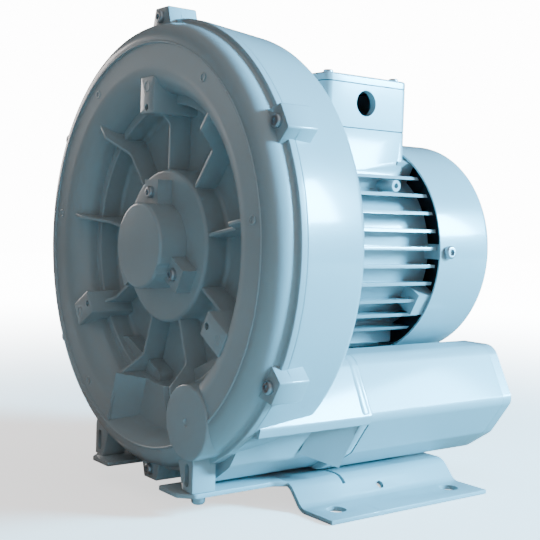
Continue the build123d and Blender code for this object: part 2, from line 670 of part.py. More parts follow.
# Bearing cap with three screw blocks
with BuildPart() as bearing_cap:
    with BuildSketch(SECTION) as cap_section:
        Polygon((CAP_FACE, 0), (CAP_FACE, CAP_R), (HUB_FACE, CAP_R), (HUB_FACE, 0), align=None)
        fillet(cap_section.vertices().sort_by_distance((CAP_FACE, CAP_R, 0))[0], CAP_ROUND)
    revolve(axis=SHAFT)
    with BuildSketch(facing(HUB_FACE)):
        for angle in PAD_ANGLES:
            with Locations(Location((0, 0, 0), (0, 0, angle))):
                with Locations((CAP_BLOCK_R / 2, 0)):
                    Rectangle(CAP_BLOCK_R, CAP_BLOCK_W)
    extrude(amount=HUB_FACE - CAP_BLOCK_FACE)
    with BuildSketch(facing(CAP_BLOCK_FACE)):
        with Locations(*[around(CAP_SCREW_R, angle) for angle in PAD_ANGLES]):
            Circle(CAP_RECESS_R)
    extrude(amount=CAP_BLOCK_FACE - CAP_FACE, mode=Mode.SUBTRACT)
    with BuildSketch(SECTION):
        Polygon((HUB_FACE, CAP_R - 2), (HUB_FACE, BEARING_OUT_R - SEAT_GAP),
                (FRONT_BEARING_Y, BEARING_OUT_R - SEAT_GAP),
                (FRONT_BEARING_Y, BEARING_OUT_R - CAP_SPIGOT_T),
                (HUB_FACE - 1, BEARING_OUT_R - CAP_SPIGOT_T), (HUB_FACE - 1, CAP_R - 2), align=None)
    revolve(axis=SHAFT)
    with BuildSketch(SECTION):
        Polygon((HUB_FACE, 0), (HUB_FACE, BEARING_OUT_R - CAP_SPIGOT_T),
                (CAP_FACE + CAP_WALL, BEARING_OUT_R - CAP_SPIGOT_T), (CAP_FACE + CAP_WALL, 0), align=None)
    revolve(axis=SHAFT, mode=Mode.SUBTRACT)
    with Locations(*[front_at(CAP_SCREW_R, angle, CAP_BLOCK_FACE) for angle in PAD_ANGLES]):
        Hole(M5_R + HOLE_GAP, depth=HUB_FACE - CAP_BLOCK_FACE)
bearing_cap.part.label = "bearing_cap"
export_step(bearing_cap.part, "parts/bearing_cap.step")

# Ball bearings: outer race, inner race, and the balls in their cage
for place, start in (("front", FRONT_BEARING_Y), ("rear", REAR_BEARING_Y)):
    middle = start + BEARING_W / 2
    with BuildPart() as outer_race:
        with BuildSketch(SECTION):
            Polygon((start, RACE_OUT_R), (start, BEARING_OUT_R - SEAT_GAP),
                    (start + BEARING_W, BEARING_OUT_R - SEAT_GAP), (start + BEARING_W, RACE_OUT_R), align=None)
            with Locations((middle, BALL_RING_R)):
                Circle(BALL_R + RUN_GAP, mode=Mode.SUBTRACT)
        revolve(axis=SHAFT)
    outer_race.part.label = place + "_bearing_outer_race"
    export_step(outer_race.part, "parts/" + place + "_bearing_outer_race.step")
    with BuildPart() as inner_race:
        with BuildSketch(SECTION):
            Polygon((start, BEARING_IN_R + SEAT_GAP), (start, RACE_IN_R), (start + BEARING_W, RACE_IN_R),
                    (start + BEARING_W, BEARING_IN_R + SEAT_GAP), align=None)
            with Locations((middle, BALL_RING_R)):
                Circle(BALL_R + RUN_GAP, mode=Mode.SUBTRACT)
        revolve(axis=SHAFT)
    inner_race.part.label = place + "_bearing_inner_race"
    export_step(inner_race.part, "parts/" + place + "_bearing_inner_race.step")
    with BuildPart() as ball_cage:
        with BuildSketch(SECTION):
            with Locations((middle, BALL_RING_R)):
                Rectangle(CAGE_W, CAGE_T)
        revolve(axis=SHAFT)
        with Locations(*[front_at(BALL_RING_R, 360 / BALL_COUNT * k, middle) for k in range(BALL_COUNT)]):
            Sphere(BALL_R)
    ball_cage.part.label = place + "_bearing_balls"
    export_step(ball_cage.part, "parts/" + place + "_bearing_balls.step")

# Shaft with keyway and a threaded hole in its front end
with BuildPart() as shaft:
    with BuildSketch(SECTION):
        Polygon((FRONT_BEARING_Y + REST_GAP, 0), (FRONT_BEARING_Y + REST_GAP, BEARING_IN_R),
                (IMPELLER_HUB_END, BEARING_IN_R), (IMPELLER_HUB_END, SHAFT_R), (REAR_BEARING_Y, SHAFT_R),
                (REAR_BEARING_Y, BEARING_IN_R), (REAR_BEARING_Y + BEARING_W + 3, BEARING_IN_R),
                (REAR_BEARING_Y + BEARING_W + 3, FAN_SEAT_R), (SHAFT_REAR, FAN_SEAT_R), (SHAFT_REAR, 0),
                align=None)
    revolve(axis=SHAFT)
    with BuildSketch(level(BEARING_IN_R - KEY_SUNK)):
        with Locations((0, (WEB_FRONT + IMPELLER_HUB_END) / 2)):
            Rectangle(KEY_W + 2 * SEAT_GAP, KEY_L + 2 * SEAT_GAP)
    extrude(amount=KEY_SUNK + 1, mode=Mode.SUBTRACT)
    with Locations(front_at(0, 0, FRONT_BEARING_Y + REST_GAP)):
        Hole(END_SCREW_R + SEAT_GAP, depth=END_SCREW_L)
    with BuildSketch(SECTION):
        Polygon((FAN_REAR, FAN_SEAT_R - 1), (FAN_REAR, FAN_SEAT_R + 1), (FAN_REAR + FAN_CLIP_T, FAN_SEAT_R + 1),
                (FAN_REAR + FAN_CLIP_T, FAN_SEAT_R - 1), align=None)
    revolve(axis=SHAFT, mode=Mode.SUBTRACT)
shaft.part.label = "shaft"
export_step(shaft.part, "parts/shaft.step")

# Feather key of the impeller
with BuildPart() as impeller_key:
    with BuildSketch(level(BEARING_IN_R - KEY_SUNK)):
        with Locations((0, (WEB_FRONT + IMPELLER_HUB_END) / 2)):
            Rectangle(KEY_W, KEY_L)
    extrude(amount=KEY_H)
impeller_key.part.label = "impeller_key"
export_step(impeller_key.part, "parts/impeller_key.step")

# Impeller: hub, web, rim, blades on both sides of a septum
with BuildPart() as impeller:
    with BuildSketch(SECTION):
        Polygon((IMPELLER_FRONT, BEARING_IN_R + SEAT_GAP), (IMPELLER_FRONT, IMPELLER_HUB_R),
                (WEB_FRONT, IMPELLER_HUB_R), (WEB_FRONT, RIM_R), (BLADE_FRONT, RIM_R),
                (BLADE_FRONT, RIM_R + RIM_T), (IMPELLER_MID - SEPTUM_T / 2, RIM_R + RIM_T),
                (IMPELLER_MID - SEPTUM_T / 2, SEPTUM_R), (IMPELLER_MID + SEPTUM_T / 2, SEPTUM_R),
                (IMPELLER_MID + SEPTUM_T / 2, RIM_R + RIM_T), (BLADE_REAR, RIM_R + RIM_T),
                (BLADE_REAR, RIM_R), (WEB_REAR, RIM_R), (WEB_REAR, IMPELLER_HUB_R),
                (IMPELLER_HUB_END, IMPELLER_HUB_R), (IMPELLER_HUB_END, BEARING_IN_R + SEAT_GAP), align=None)
    revolve(axis=SHAFT)
    with BuildSketch(facing(BLADE_FRONT)):
        with PolarLocations((RIM_R + BLADE_R + 2) / 2, BLADE_COUNT):
            Rectangle(BLADE_R - RIM_R - 2, BLADE_T)
    extrude(amount=BLADE_FRONT - BLADE_REAR)
    with BuildSketch(facing(IMPELLER_FRONT)):
        with Locations((0, BEARING_IN_R)):
            Rectangle(KEY_W + 2 * SEAT_GAP, 2 * (KEY_H - KEY_SUNK + SEAT_GAP))
    extrude(amount=IMPELLER_FRONT - IMPELLER_HUB_END, mode=Mode.SUBTRACT)
impeller.part.label = "impeller"
export_step(impeller.part, "parts/impeller.step")

# Spacer sleeve between front bearing and impeller
spacer_sleeve = turned([(HUB_BORE_REAR, BEARING_IN_R + SEAT_GAP), (HUB_BORE_REAR, SLEEVE_R),
                        (IMPELLER_FRONT, SLEEVE_R), (IMPELLER_FRONT, BEARING_IN_R + SEAT_GAP)])
spacer_sleeve.label = "spacer_sleeve"
export_step(spacer_sleeve, "parts/spacer_sleeve.step")

# Washer and screw that hold the front end of the shaft
end_washer = turned([(FRONT_BEARING_Y - END_WASHER_T, END_SCREW_R + HOLE_GAP),
                     (FRONT_BEARING_Y - END_WASHER_T, END_WASHER_R), (FRONT_BEARING_Y, END_WASHER_R),
                     (FRONT_BEARING_Y, END_SCREW_R + HOLE_GAP)])
end_washer.label = "shaft_end_washer"
export_step(end_washer, "parts/shaft_end_washer.step")
with BuildPart() as end_screw:
    with Locations(front_at(0, 0, FRONT_BEARING_Y - END_WASHER_T)):
        add(hex_screw(END_SCREW_R, END_SCREW_AF, END_SCREW_HEAD, END_SCREW_L - 1))
end_screw.part.label = "shaft_end_screw"
export_step(end_screw.part, "parts/shaft_end_screw.step")

# Shaft seals: an L section whose lip runs on the sleeve or on the shaft
for place, start in (("front", SEAL_FRONT), ("rear", SEAL_SEAT)):
    shaft_seal = turned([(start, SLEEVE_R + RUN_GAP), (start, SEAL_R - SEAT_GAP),
                         (start + SEAL_W, SEAL_R - SEAT_GAP), (start + SEAL_W, SEAL_R - SEAL_WALL),
                         (start + SEAL_WALL, SEAL_R - SEAL_WALL), (start + SEAL_WALL, SLEEVE_R + RUN_GAP)])
    shaft_seal.label = place + "_shaft_seal"
    export_step(shaft_seal, "parts/" + place + "_shaft_seal.step")

# Motor housing: finned tube, front flange, neck of the terminal box, lugs for the tie screws
FIN_HEIGHTS = [FIN_TOP_Z - FIN_PITCH * k for k in range(FIN_SIDE_COUNT)]
FIN_HEIGHTS += [FIN_HEIGHTS[-1] - LOW_FIN_PITCH * (k + 1) for k in range(LOW_FIN_COUNT)]
KEEL_X = [FIN_PITCH * (k - (KEEL_FIN_COUNT - 1) / 2) for k in range(KEEL_FIN_COUNT)]
BOX_MID = (BOX_FRONT + BOX_REAR) / 2
BOX_LENGTH = BOX_REAR - BOX_FRONT
TIE_LUG_OUTLINE = [(TUBE_IN_R + 1, -TIE_LUG_W / 2), (TIE_LUG_R, -TIE_LUG_W / 2),
                   (TIE_LUG_R, TIE_LUG_W / 2), (TUBE_IN_R + 1, TIE_LUG_W / 2)]
BOX_SCREW_SPOTS = [(x * BOX_SCREW_X, y * BOX_SCREW_Y) for x in (1, -1) for y in (1, -1)]
with BuildPart() as motor_housing:
    with BuildSketch(facing(MOTOR_FRONT)):
        for height in FIN_HEIGHTS:
            with Locations((0, height)):
                Rectangle(2 * FIN_R, FIN_T)
        with Locations(*[(x, -FIN_R + (FIN_R + KEEL_TOP_Z) / 2) for x in KEEL_X]):
            Rectangle(FIN_T, FIN_R + KEEL_TOP_Z)
        Circle(FIN_R, mode=Mode.INTERSECT)
        Circle(TUBE_OUT_R)
    extrude(amount=MOTOR_FRONT - MOTOR_REAR)
    with BuildSketch(facing(MOTOR_FRONT)):
        Circle(MOTOR_RING_OUT)
    extrude(amount=-MOTOR_FLANGE_T)
    with BuildSketch(facing(TIE_LUG_Y)):
        for angle in TIE_ANGLES:
            with Locations(Location((0, 0, 0), (0, 0, angle))):
                Polygon(*TIE_LUG_OUTLINE, align=None)
    extrude(amount=TIE_LUG_Y - MOTOR_REAR)
    with BuildSketch(level(NECK_BOTTOM - 8)):
        with Locations((0, BOX_MID)):
            RectangleRounded(2 * BOX_HALF_X, BOX_LENGTH, BOX_CORNER)
    extrude(amount=NECK_TOP - NECK_BOTTOM + 8)
    with BuildSketch(side_plane(EYE_X - 24)):
        with Locations((EYE_Y, EYE_Z)):
            Circle(EYE_R)
    extrude(amount=24)
    with BuildSketch(facing(MOTOR_FRONT - 1)):
        Circle(TUBE_IN_R)
    extrude(amount=MOTOR_FRONT - MOTOR_REAR - 2, mode=Mode.SUBTRACT)
    with BuildSketch(level(0)):
        with Locations((0, BOX_MID)):
            Rectangle(WIRE_DUCT_X, WIRE_DUCT_Y)
    extrude(amount=NECK_TOP, mode=Mode.SUBTRACT)
    with Locations(Location((EYE_X, SPLIT_Y + EYE_Y, SHAFT_Z + EYE_Z), (0, 90, 0))):
        Hole(EYE_HOLE_R, depth=THREAD_DEPTH)
    with Locations(*[front_at(MOTOR_SCREW_AT, angle, MOTOR_FRONT) for angle in MOTOR_SCREW_ANGLES]):
        Hole(M5_R + HOLE_GAP, depth=MOTOR_FLANGE_T)
    with Locations(*[front_at(TIE_R, angle, TIE_LUG_Y) for angle in TIE_ANGLES]):
        Hole(M5_R + SEAT_GAP, depth=MOTOR_REAR - TIE_LUG_Y)
    with Locations(*[lifted(x, BOX_MID + y, NECK_TOP) for x, y in BOX_SCREW_SPOTS]):
        Hole(M4_R + SEAT_GAP, depth=THREAD_DEPTH)
motor_housing.part.label = "motor_housing"
export_step(motor_housing.part, "parts/motor_housing.step")

# Stator stack, windings and rotor core
stator_core = turned([(STACK_FRONT, ROTOR_R + AIR_GAP), (STACK_FRONT, TUBE_IN_R - SEAT_GAP),
                      (STACK_REAR, TUBE_IN_R - SEAT_GAP), (STACK_REAR, ROTOR_R + AIR_GAP)])
stator_core.label = "stator_core"
export_step(stator_core, "parts/stator_core.step")
with BuildPart() as windings:
    for start, grow in ((STACK_FRONT, -COIL_L), (STACK_REAR, COIL_L)):
        with BuildSketch(SECTION) as coil:
            Polygon((start, COIL_IN_R), (start, COIL_OUT_R), (start + grow, COIL_OUT_R),
                    (start + grow, COIL_IN_R), align=None)
            fillet(coil.vertices().group_by(Axis.X)[0 if grow < 0 else -1], 4)
        revolve(axis=SHAFT)
windings.part.label = "windings"
export_step(windings.part, "parts/windings.step")
with BuildPart() as rotor_core:
    with BuildSketch(SECTION):
        Polygon((STACK_FRONT, SHAFT_R + SEAT_GAP), (STACK_FRONT, END_RING_IN_R),
                (STACK_FRONT - END_RING_L, END_RING_IN_R), (STACK_FRONT - END_RING_L, ROTOR_R - 1),
                (STACK_FRONT, ROTOR_R - 1), (STACK_FRONT, ROTOR_R), (STACK_REAR, ROTOR_R),
                (STACK_REAR, ROTOR_R - 1), (STACK_REAR + END_RING_L, ROTOR_R - 1),
                (STACK_REAR + END_RING_L, END_RING_IN_R), (STACK_REAR, END_RING_IN_R),
                (STACK_REAR, SHAFT_R + SEAT_GAP), align=None)
    revolve(axis=SHAFT)
rotor_core.part.label = "rotor_core"
export_step(rotor_core.part, "parts/rotor_core.step")

# Rear end shield with bearing seat, ears for the tie screws and arms for the cowl
BEARING_END = REAR_BEARING_Y + BEARING_W
SHIELD_REAR = MOTOR_REAR + SHIELD_T
SPRING_END = BEARING_END + SPRING_T + REST_GAP
with BuildPart() as end_shield:
    with BuildSketch(SECTION):
        Polygon((REAR_BEARING_Y - 2, BEARING_OUT_R), (REAR_BEARING_Y - 2, SHIELD_HUB_R),
                (MOTOR_REAR, SHIELD_HUB_R), (MOTOR_REAR, TUBE_IN_R - SPIGOT_T),
                (MOTOR_REAR - SPIGOT_L, TUBE_IN_R - SPIGOT_T), (MOTOR_REAR - SPIGOT_L, TUBE_IN_R - SEAT_GAP),
                (MOTOR_REAR, TUBE_IN_R - SEAT_GAP), (MOTOR_REAR, TUBE_OUT_R), (SHIELD_REAR, TUBE_OUT_R),
                (SHIELD_REAR, SHIELD_HUB_R), (SPRING_END + WALL, SHIELD_HUB_R),
                (SPRING_END + WALL, BEARING_IN_R + 1), (SPRING_END, BEARING_IN_R + 1),
                (SPRING_END, BEARING_OUT_R), align=None)
    revolve(axis=SHAFT)
    with BuildSketch(facing(MOTOR_REAR)):
        for angle in TIE_ANGLES:
            with Locations(Location((0, 0, 0), (0, 0, angle))):
                Polygon(*TIE_LUG_OUTLINE, align=None)
    extrude(amount=-SHIELD_T)
    with BuildSketch(facing(ARM_Y - ARM_W / 2)):
        for angle in (0, 90):
            with Locations(Location((0, 0, 0), (0, 0, angle))):
                Rectangle(2 * (COWL_R - COWL_T - SEAT_GAP), ARM_W)
        Circle(TUBE_OUT_R - ARM_W, mode=Mode.SUBTRACT)
        Circle(COWL_R - COWL_T - SEAT_GAP, mode=Mode.INTERSECT)
    extrude(amount=-ARM_W)
    with Locations(*[front_at(TIE_R, angle, MOTOR_REAR) for angle in TIE_ANGLES]):
        Hole(M5_R + HOLE_GAP, depth=SHIELD_T)
    with Locations(*[radial_at(COWL_R, 90 * k, ARM_Y) for k in range(4)]):
        Hole(M6_R + SEAT_GAP, depth=THREAD_DEPTH + 2)
end_shield.part.label = "rear_end_shield"
export_step(end_shield.part, "parts/rear_end_shield.step")

# Spring washer behind the rear bearing
wave_spring = turned([(BEARING_END, RACE_OUT_R), (BEARING_END, BEARING_OUT_R - 1),
                      (BEARING_END + SPRING_T, BEARING_OUT_R - 1), (BEARING_END + SPRING_T, RACE_OUT_R)])
wave_spring.label = "bearing_spring"
export_step(wave_spring, "parts/bearing_spring.step")

# Cooling fan with straight blades, and its clip
with BuildPart() as cooling_fan:
    with BuildSketch(facing(FAN_FRONT)):
        Circle(FAN_PLATE_R)
    extrude(amount=-FAN_PLATE_T)
    with BuildSketch(facing(FAN_FRONT)):
        Circle(FAN_HUB_R)
    extrude(amount=FAN_FRONT - FAN_REAR)
    with BuildSketch(facing(FAN_FRONT)):
        with PolarLocations(FAN_R / 2 + FAN_SEAT_R / 2, FAN_BLADES):
            Rectangle(FAN_R - FAN_SEAT_R - 2, FAN_BLADE_T)
    extrude(amount=FAN_FRONT - FAN_REAR)
    with BuildSketch(facing(FAN_FRONT)):
        Circle(FAN_SEAT_R + SEAT_GAP)
    extrude(amount=FAN_FRONT - FAN_REAR, mode=Mode.SUBTRACT)
cooling_fan.part.label = "cooling_fan"
export_step(cooling_fan.part, "parts/cooling_fan.step")
with BuildPart() as fan_clip:
    with BuildSketch(facing(FAN_REAR + SEAT_GAP)):
        Circle(FAN_CLIP_R)
        Circle(FAN_SEAT_R - 1 + SEAT_GAP, mode=Mode.SUBTRACT)
        with Locations((0, -FAN_CLIP_R)):
            Rectangle(FAN_SEAT_R, 2 * FAN_CLIP_R, mode=Mode.SUBTRACT)
    extrude(amount=-FAN_CLIP_T + 2 * SEAT_GAP)
fan_clip.part.label = "fan_clip"
export_step(fan_clip.part, "parts/fan_clip.step")

# Fan cowl: pressed cup with a ring grille in its end
with BuildPart() as fan_cowl:
    with BuildSketch(SECTION) as cowl_section:
        Polygon((COWL_FRONT, COWL_R - COWL_T), (COWL_FRONT, COWL_R), (COWL_REAR, COWL_R), (COWL_REAR, 0),
                (COWL_REAR - COWL_T, 0), (COWL_REAR - COWL_T, COWL_R - COWL_T), align=None)
        fillet(cowl_section.vertices().sort_by_distance((COWL_REAR, COWL_R, 0))[0], COWL_ROUND)
        fillet(cowl_section.vertices().sort_by_distance((COWL_REAR - COWL_T, COWL_R - COWL_T, 0))[0],
               COWL_ROUND - COWL_T)
    revolve(axis=SHAFT)
    with BuildSketch(facing(COWL_REAR - 2 * COWL_T)):
        for k in reversed(range(GRILLE_RINGS)):
            Circle(GRILLE_FIRST_R + GRILLE_PITCH * k + GRILLE_SLOT / 2)
            Circle(GRILLE_FIRST_R + GRILLE_PITCH * k - GRILLE_SLOT / 2, mode=Mode.SUBTRACT)
        for k in range(GRILLE_BRIDGES // 2):
            with Locations(Location((0, 0, 0), (0, 0, 180 / (GRILLE_BRIDGES // 2) * k + 30))):
                Rectangle(2 * COWL_R, GRILLE_BRIDGE_W, mode=Mode.SUBTRACT)
    extrude(amount=-3 * COWL_T, mode=Mode.SUBTRACT)
    with Locations(*[radial_at(COWL_R, 90 * k, ARM_Y) for k in range(4)]):
        Hole(M6_R + HOLE_GAP, depth=2 * COWL_T)
fan_cowl.part.label = "fan_cowl"
export_step(fan_cowl.part, "parts/fan_cowl.step")

# Terminal box, gasket, lid, and the board inside
LID_SPOTS = [(x * (BOX_HALF_X - LID_SCREW_INSET), y * (BOX_LENGTH / 2 - LID_SCREW_INSET))
             for x in (-1, 1) for y in (-1, 1)]
BOX_BASE = NECK_TOP + GASKET
BOX_FLOOR = BOX_BASE + BOX_WALL
LID_SEAT = BOX_TOP + GASKET
with BuildPart() as terminal_box:
    with BuildSketch(level(BOX_BASE)):
        with Locations((0, BOX_MID)):
            RectangleRounded(2 * BOX_HALF_X, BOX_LENGTH, BOX_CORNER)
    extrude(amount=BOX_TOP - BOX_BASE)
    with BuildSketch(level(BOX_FLOOR)):
        with Locations((0, BOX_MID)):
            RectangleRounded(2 * (BOX_HALF_X - BOX_WALL), BOX_LENGTH - 2 * BOX_WALL, BOX_CORNER - BOX_WALL)
    extrude(amount=BOX_TOP - BOX_FLOOR, mode=Mode.SUBTRACT)
    with BuildSketch(level(BOX_FLOOR)):
        with Locations(*[(x, BOX_MID + y) for x, y in LID_SPOTS]):
            Circle(BOX_POST_R)
    extrude(amount=BOX_TOP - BOX_FLOOR)
    with BuildSketch(side_plane(BOX_HALF_X - BOX_WALL - CABLE_BOSS_T)):
        with Locations((CABLE_Y, CABLE_Z)):
            Circle(CABLE_BOSS_R)
    extrude(amount=CABLE_BOSS_T + 1)
    with BuildSketch(level(BOX_BASE)):
        with Locations((0, BOX_MID)):
            Rectangle(WIRE_DUCT_X, WIRE_DUCT_Y)
    extrude(amount=BOX_WALL, mode=Mode.SUBTRACT)
    with Locations(Location((BOX_HALF_X, SPLIT_Y + CABLE_Y, SHAFT_Z + CABLE_Z), (0, 90, 0))):
        Hole(CABLE_R, depth=BOX_WALL + CABLE_BOSS_T)
    with Locations(*[lifted(x, BOX_MID + y, BOX_TOP) for x, y in LID_SPOTS]):
        Hole(M4_R + SEAT_GAP, depth=THREAD_DEPTH + 2)
    with Locations(*[lifted(x, BOX_MID + y, BOX_FLOOR) for x, y in BOX_SCREW_SPOTS]):
        Hole(M4_R + HOLE_GAP, depth=BOX_WALL)
terminal_box.part.label = "terminal_box"
export_step(terminal_box.part, "parts/terminal_box.step")

with BuildPart() as box_gasket:
    with BuildSketch(level(NECK_TOP)):
        with Locations((0, BOX_MID)):
            RectangleRounded(2 * BOX_HALF_X - 1, BOX_LENGTH - 1, BOX_CORNER - 0.5)
            Rectangle(WIRE_DUCT_X, WIRE_DUCT_Y, mode=Mode.SUBTRACT)
            with Locations(*BOX_SCREW_SPOTS):
                Circle(M4_R + HOLE_GAP, mode=Mode.SUBTRACT)
    extrude(amount=GASKET)
box_gasket.part.label = "box_gasket"
export_step(box_gasket.part, "parts/box_gasket.step")

with BuildPart() as lid_gasket:
    with BuildSketch(level(BOX_TOP)):
        with Locations((0, BOX_MID)):
            RectangleRounded(2 * BOX_HALF_X - 1, BOX_LENGTH - 1, BOX_CORNER - 0.5)
            RectangleRounded(2 * (BOX_HALF_X - BOX_WALL), BOX_LENGTH - 2 * BOX_WALL, BOX_CORNER - BOX_WALL,
                             mode=Mode.SUBTRACT)
        with Locations(*[(x, BOX_MID + y) for x, y in LID_SPOTS]):
            Circle(BOX_POST_R)
            Circle(M4_R + HOLE_GAP, mode=Mode.SUBTRACT)
    extrude(amount=GASKET)
lid_gasket.part.label = "lid_gasket"
export_step(lid_gasket.part, "parts/lid_gasket.step")

with BuildPart() as terminal_lid:
    with BuildSketch(level(LID_SEAT)):
        with Locations((0, BOX_MID)):
            RectangleRounded(2 * BOX_HALF_X, BOX_LENGTH, BOX_CORNER)
    extrude(amount=LID_TOP - LID_SEAT)
    fillet(terminal_lid.faces().sort_by(Axis.Z)[-1].edges(), 2)
    with BuildSketch(level(LID_SEAT)):
        with Locations((0, BOX_MID)):
            RectangleRounded(2 * (BOX_HALF_X - BOX_WALL), BOX_LENGTH - 2 * BOX_WALL, BOX_CORNER - BOX_WALL)
        with Locations(*[(x, BOX_MID + y) for x, y in LID_SPOTS]):
            Circle(BOX_POST_R, mode=Mode.SUBTRACT)
    extrude(amount=(LID_TOP - LID_SEAT) / 2, mode=Mode.SUBTRACT)
    with Locations(*[lifted(x, BOX_MID + y, LID_TOP) for x, y in LID_SPOTS]):
        Hole(M4_R + HOLE_GAP, depth=LID_TOP - LID_SEAT)
terminal_lid.part.label = "terminal_lid"
export_step(terminal_lid.part, "parts/terminal_lid.step")

STUD_SPOTS = [(STUD_PITCH * k, side * STUD_ROW / 2) for k in (-1, 0, 1) for side in (1, -1)]
with BuildPart() as terminal_board:
    with BuildSketch(level(BOX_FLOOR)):
        with Locations((0, BOX_MID)):
            Rectangle(BOARD_X, BOARD_Y)
            Rectangle(BOARD_X, 2 * STUD_ROW / 7, mode=Mode.SUBTRACT)
    extrude(amount=BOARD_T)
    with BuildSketch(level(BOX_FLOOR)):
        with Locations((0, BOX_MID)):
            Rectangle(BOARD_X, BOARD_Y)
    extrude(amount=BOARD_T / 2)
    with Locations(*[lifted(x, BOX_MID + y, BOX_FLOOR + BOARD_T) for x, y in STUD_SPOTS]):
        Hole(STUD_R + SEAT_GAP, depth=BOARD_T / 2)
terminal_board.part.label = "terminal_board"
export_step(terminal_board.part, "parts/terminal_board.step")
with BuildPart() as terminal_studs:
    with BuildSketch(level(BOX_FLOOR + BOARD_T / 2)):
        with Locations(*[(x, BOX_MID + y) for x, y in STUD_SPOTS]):
            Circle(STUD_R)
    extrude(amount=STUD_L)
terminal_studs.part.label = "terminal_studs"
export_step(terminal_studs.part, "parts/terminal_studs.step")

with BuildPart() as terminal_nuts:
    with BuildSketch(level(BOX_FLOOR + BOARD_T)):
        with Locations(*[(x, BOX_MID + y) for x, y in STUD_SPOTS]):
            RegularPolygon(NUT_AF / 2, 6, major_radius=False)
            Circle(STUD_R + SEAT_GAP, mode=Mode.SUBTRACT)
    extrude(amount=NUT_H)
terminal_nuts.part.label = "terminal_nuts"
export_step(terminal_nuts.part, "parts/terminal_nuts.step")

# Ducts and silencers, right and left: duct with its flange, tube, foam liner and port flange
PORT_FRONT = SILENCER_END - PORT_T
REAR_BOSS_T = SILENCER_BOTTOM + SILENCER_WALL - WEB_TOP
FOAM_END = PORT_FRONT - PORT_BOSS_L - REST_GAP
with BuildPart() as duct:
    with BuildSketch(facing(CASING_REAR)):
        add(narrow_outline)
    extrude(amount=CASING_REAR - DUCT_END)
    with BuildSketch(facing(DUCT_END - DUCT_FLANGE_T)):
        add(duct_outline)
    extrude(amount=-DUCT_FLANGE_T)
    with BuildSketch(facing(CASING_REAR)):
        add(duct_bore)
    extrude(amount=CASING_REAR - DUCT_END + DUCT_FLANGE_T, mode=Mode.SUBTRACT)
    with BuildSketch(facing(DUCT_END - DUCT_FLANGE_T)):
        with Locations((PORT_X, PORT_Z)):
            Circle(AIRWAY_R)
    extrude(amount=-DUCT_FLANGE_T, mode=Mode.SUBTRACT)
    with Locations(*[rear_at(x, z, DUCT_END) for x, z in BOLT_SPOTS]):
        Hole(M5_R + SEAT_GAP, depth=DUCT_FLANGE_T - 1)
with BuildPart() as silencer:
    with BuildSketch(facing(DUCT_END)):
        add(duct_outline)
        offset(duct_outline, -SILENCER_WALL, mode=Mode.SUBTRACT)
    extrude(amount=DUCT_END - PORT_FRONT)
    with BuildSketch(level(WEB_TOP)):
        with Locations((REAR_SCREW_X, REAR_SCREW_Y)):
            Circle(FOOT_PAD_R)
    extrude(amount=REAR_BOSS_T)
    with Locations(below(REAR_SCREW_X, REAR_SCREW_Y, WEB_TOP)):
        Hole(M6_R + SEAT_GAP, depth=REAR_BOSS_T)
with BuildPart() as foam:
    with BuildSketch(facing(DUCT_END + REST_GAP)):
        add(offset(duct_outline, -SILENCER_WALL - FOAM_GAP))
        with Locations((PORT_X, PORT_Z)):
            Circle(AIRWAY_R, mode=Mode.SUBTRACT)
        with Locations(*BOLT_SPOTS):
            Circle(M5_R + HOLE_GAP, mode=Mode.SUBTRACT)
    extrude(amount=DUCT_END + REST_GAP - FOAM_END)
with BuildPart() as port_flange:
    with BuildSketch(facing(PORT_FRONT)):
        add(duct_outline)
    extrude(amount=-PORT_T)
    with BuildSketch(facing(PORT_FRONT)):
        with Locations((PORT_X, PORT_Z)):
            Circle(PORT_BOSS_R)
    extrude(amount=PORT_BOSS_L)
    with Locations(rear_at(PORT_X, PORT_Z, SILENCER_END)):
        Hole(PORT_R, depth=PORT_T + PORT_BOSS_L)
    with Locations(*[rear_at(x, z, SILENCER_END) for x, z in BOLT_SPOTS]):
        Hole(M5_R + HOLE_GAP, depth=PORT_T)
for name, piece in (("duct", duct.part), ("silencer", silencer.part), ("silencer_foam", foam.part),
                    ("port_flange", port_flange.part)):
    piece.label = name + "_right"
    export_step(piece, "parts/" + name + "_right.step")
    twin = mirror(piece, about=Plane.YZ)
    twin.label = name + "_left"
    export_step(twin, "parts/" + name + "_left.step")

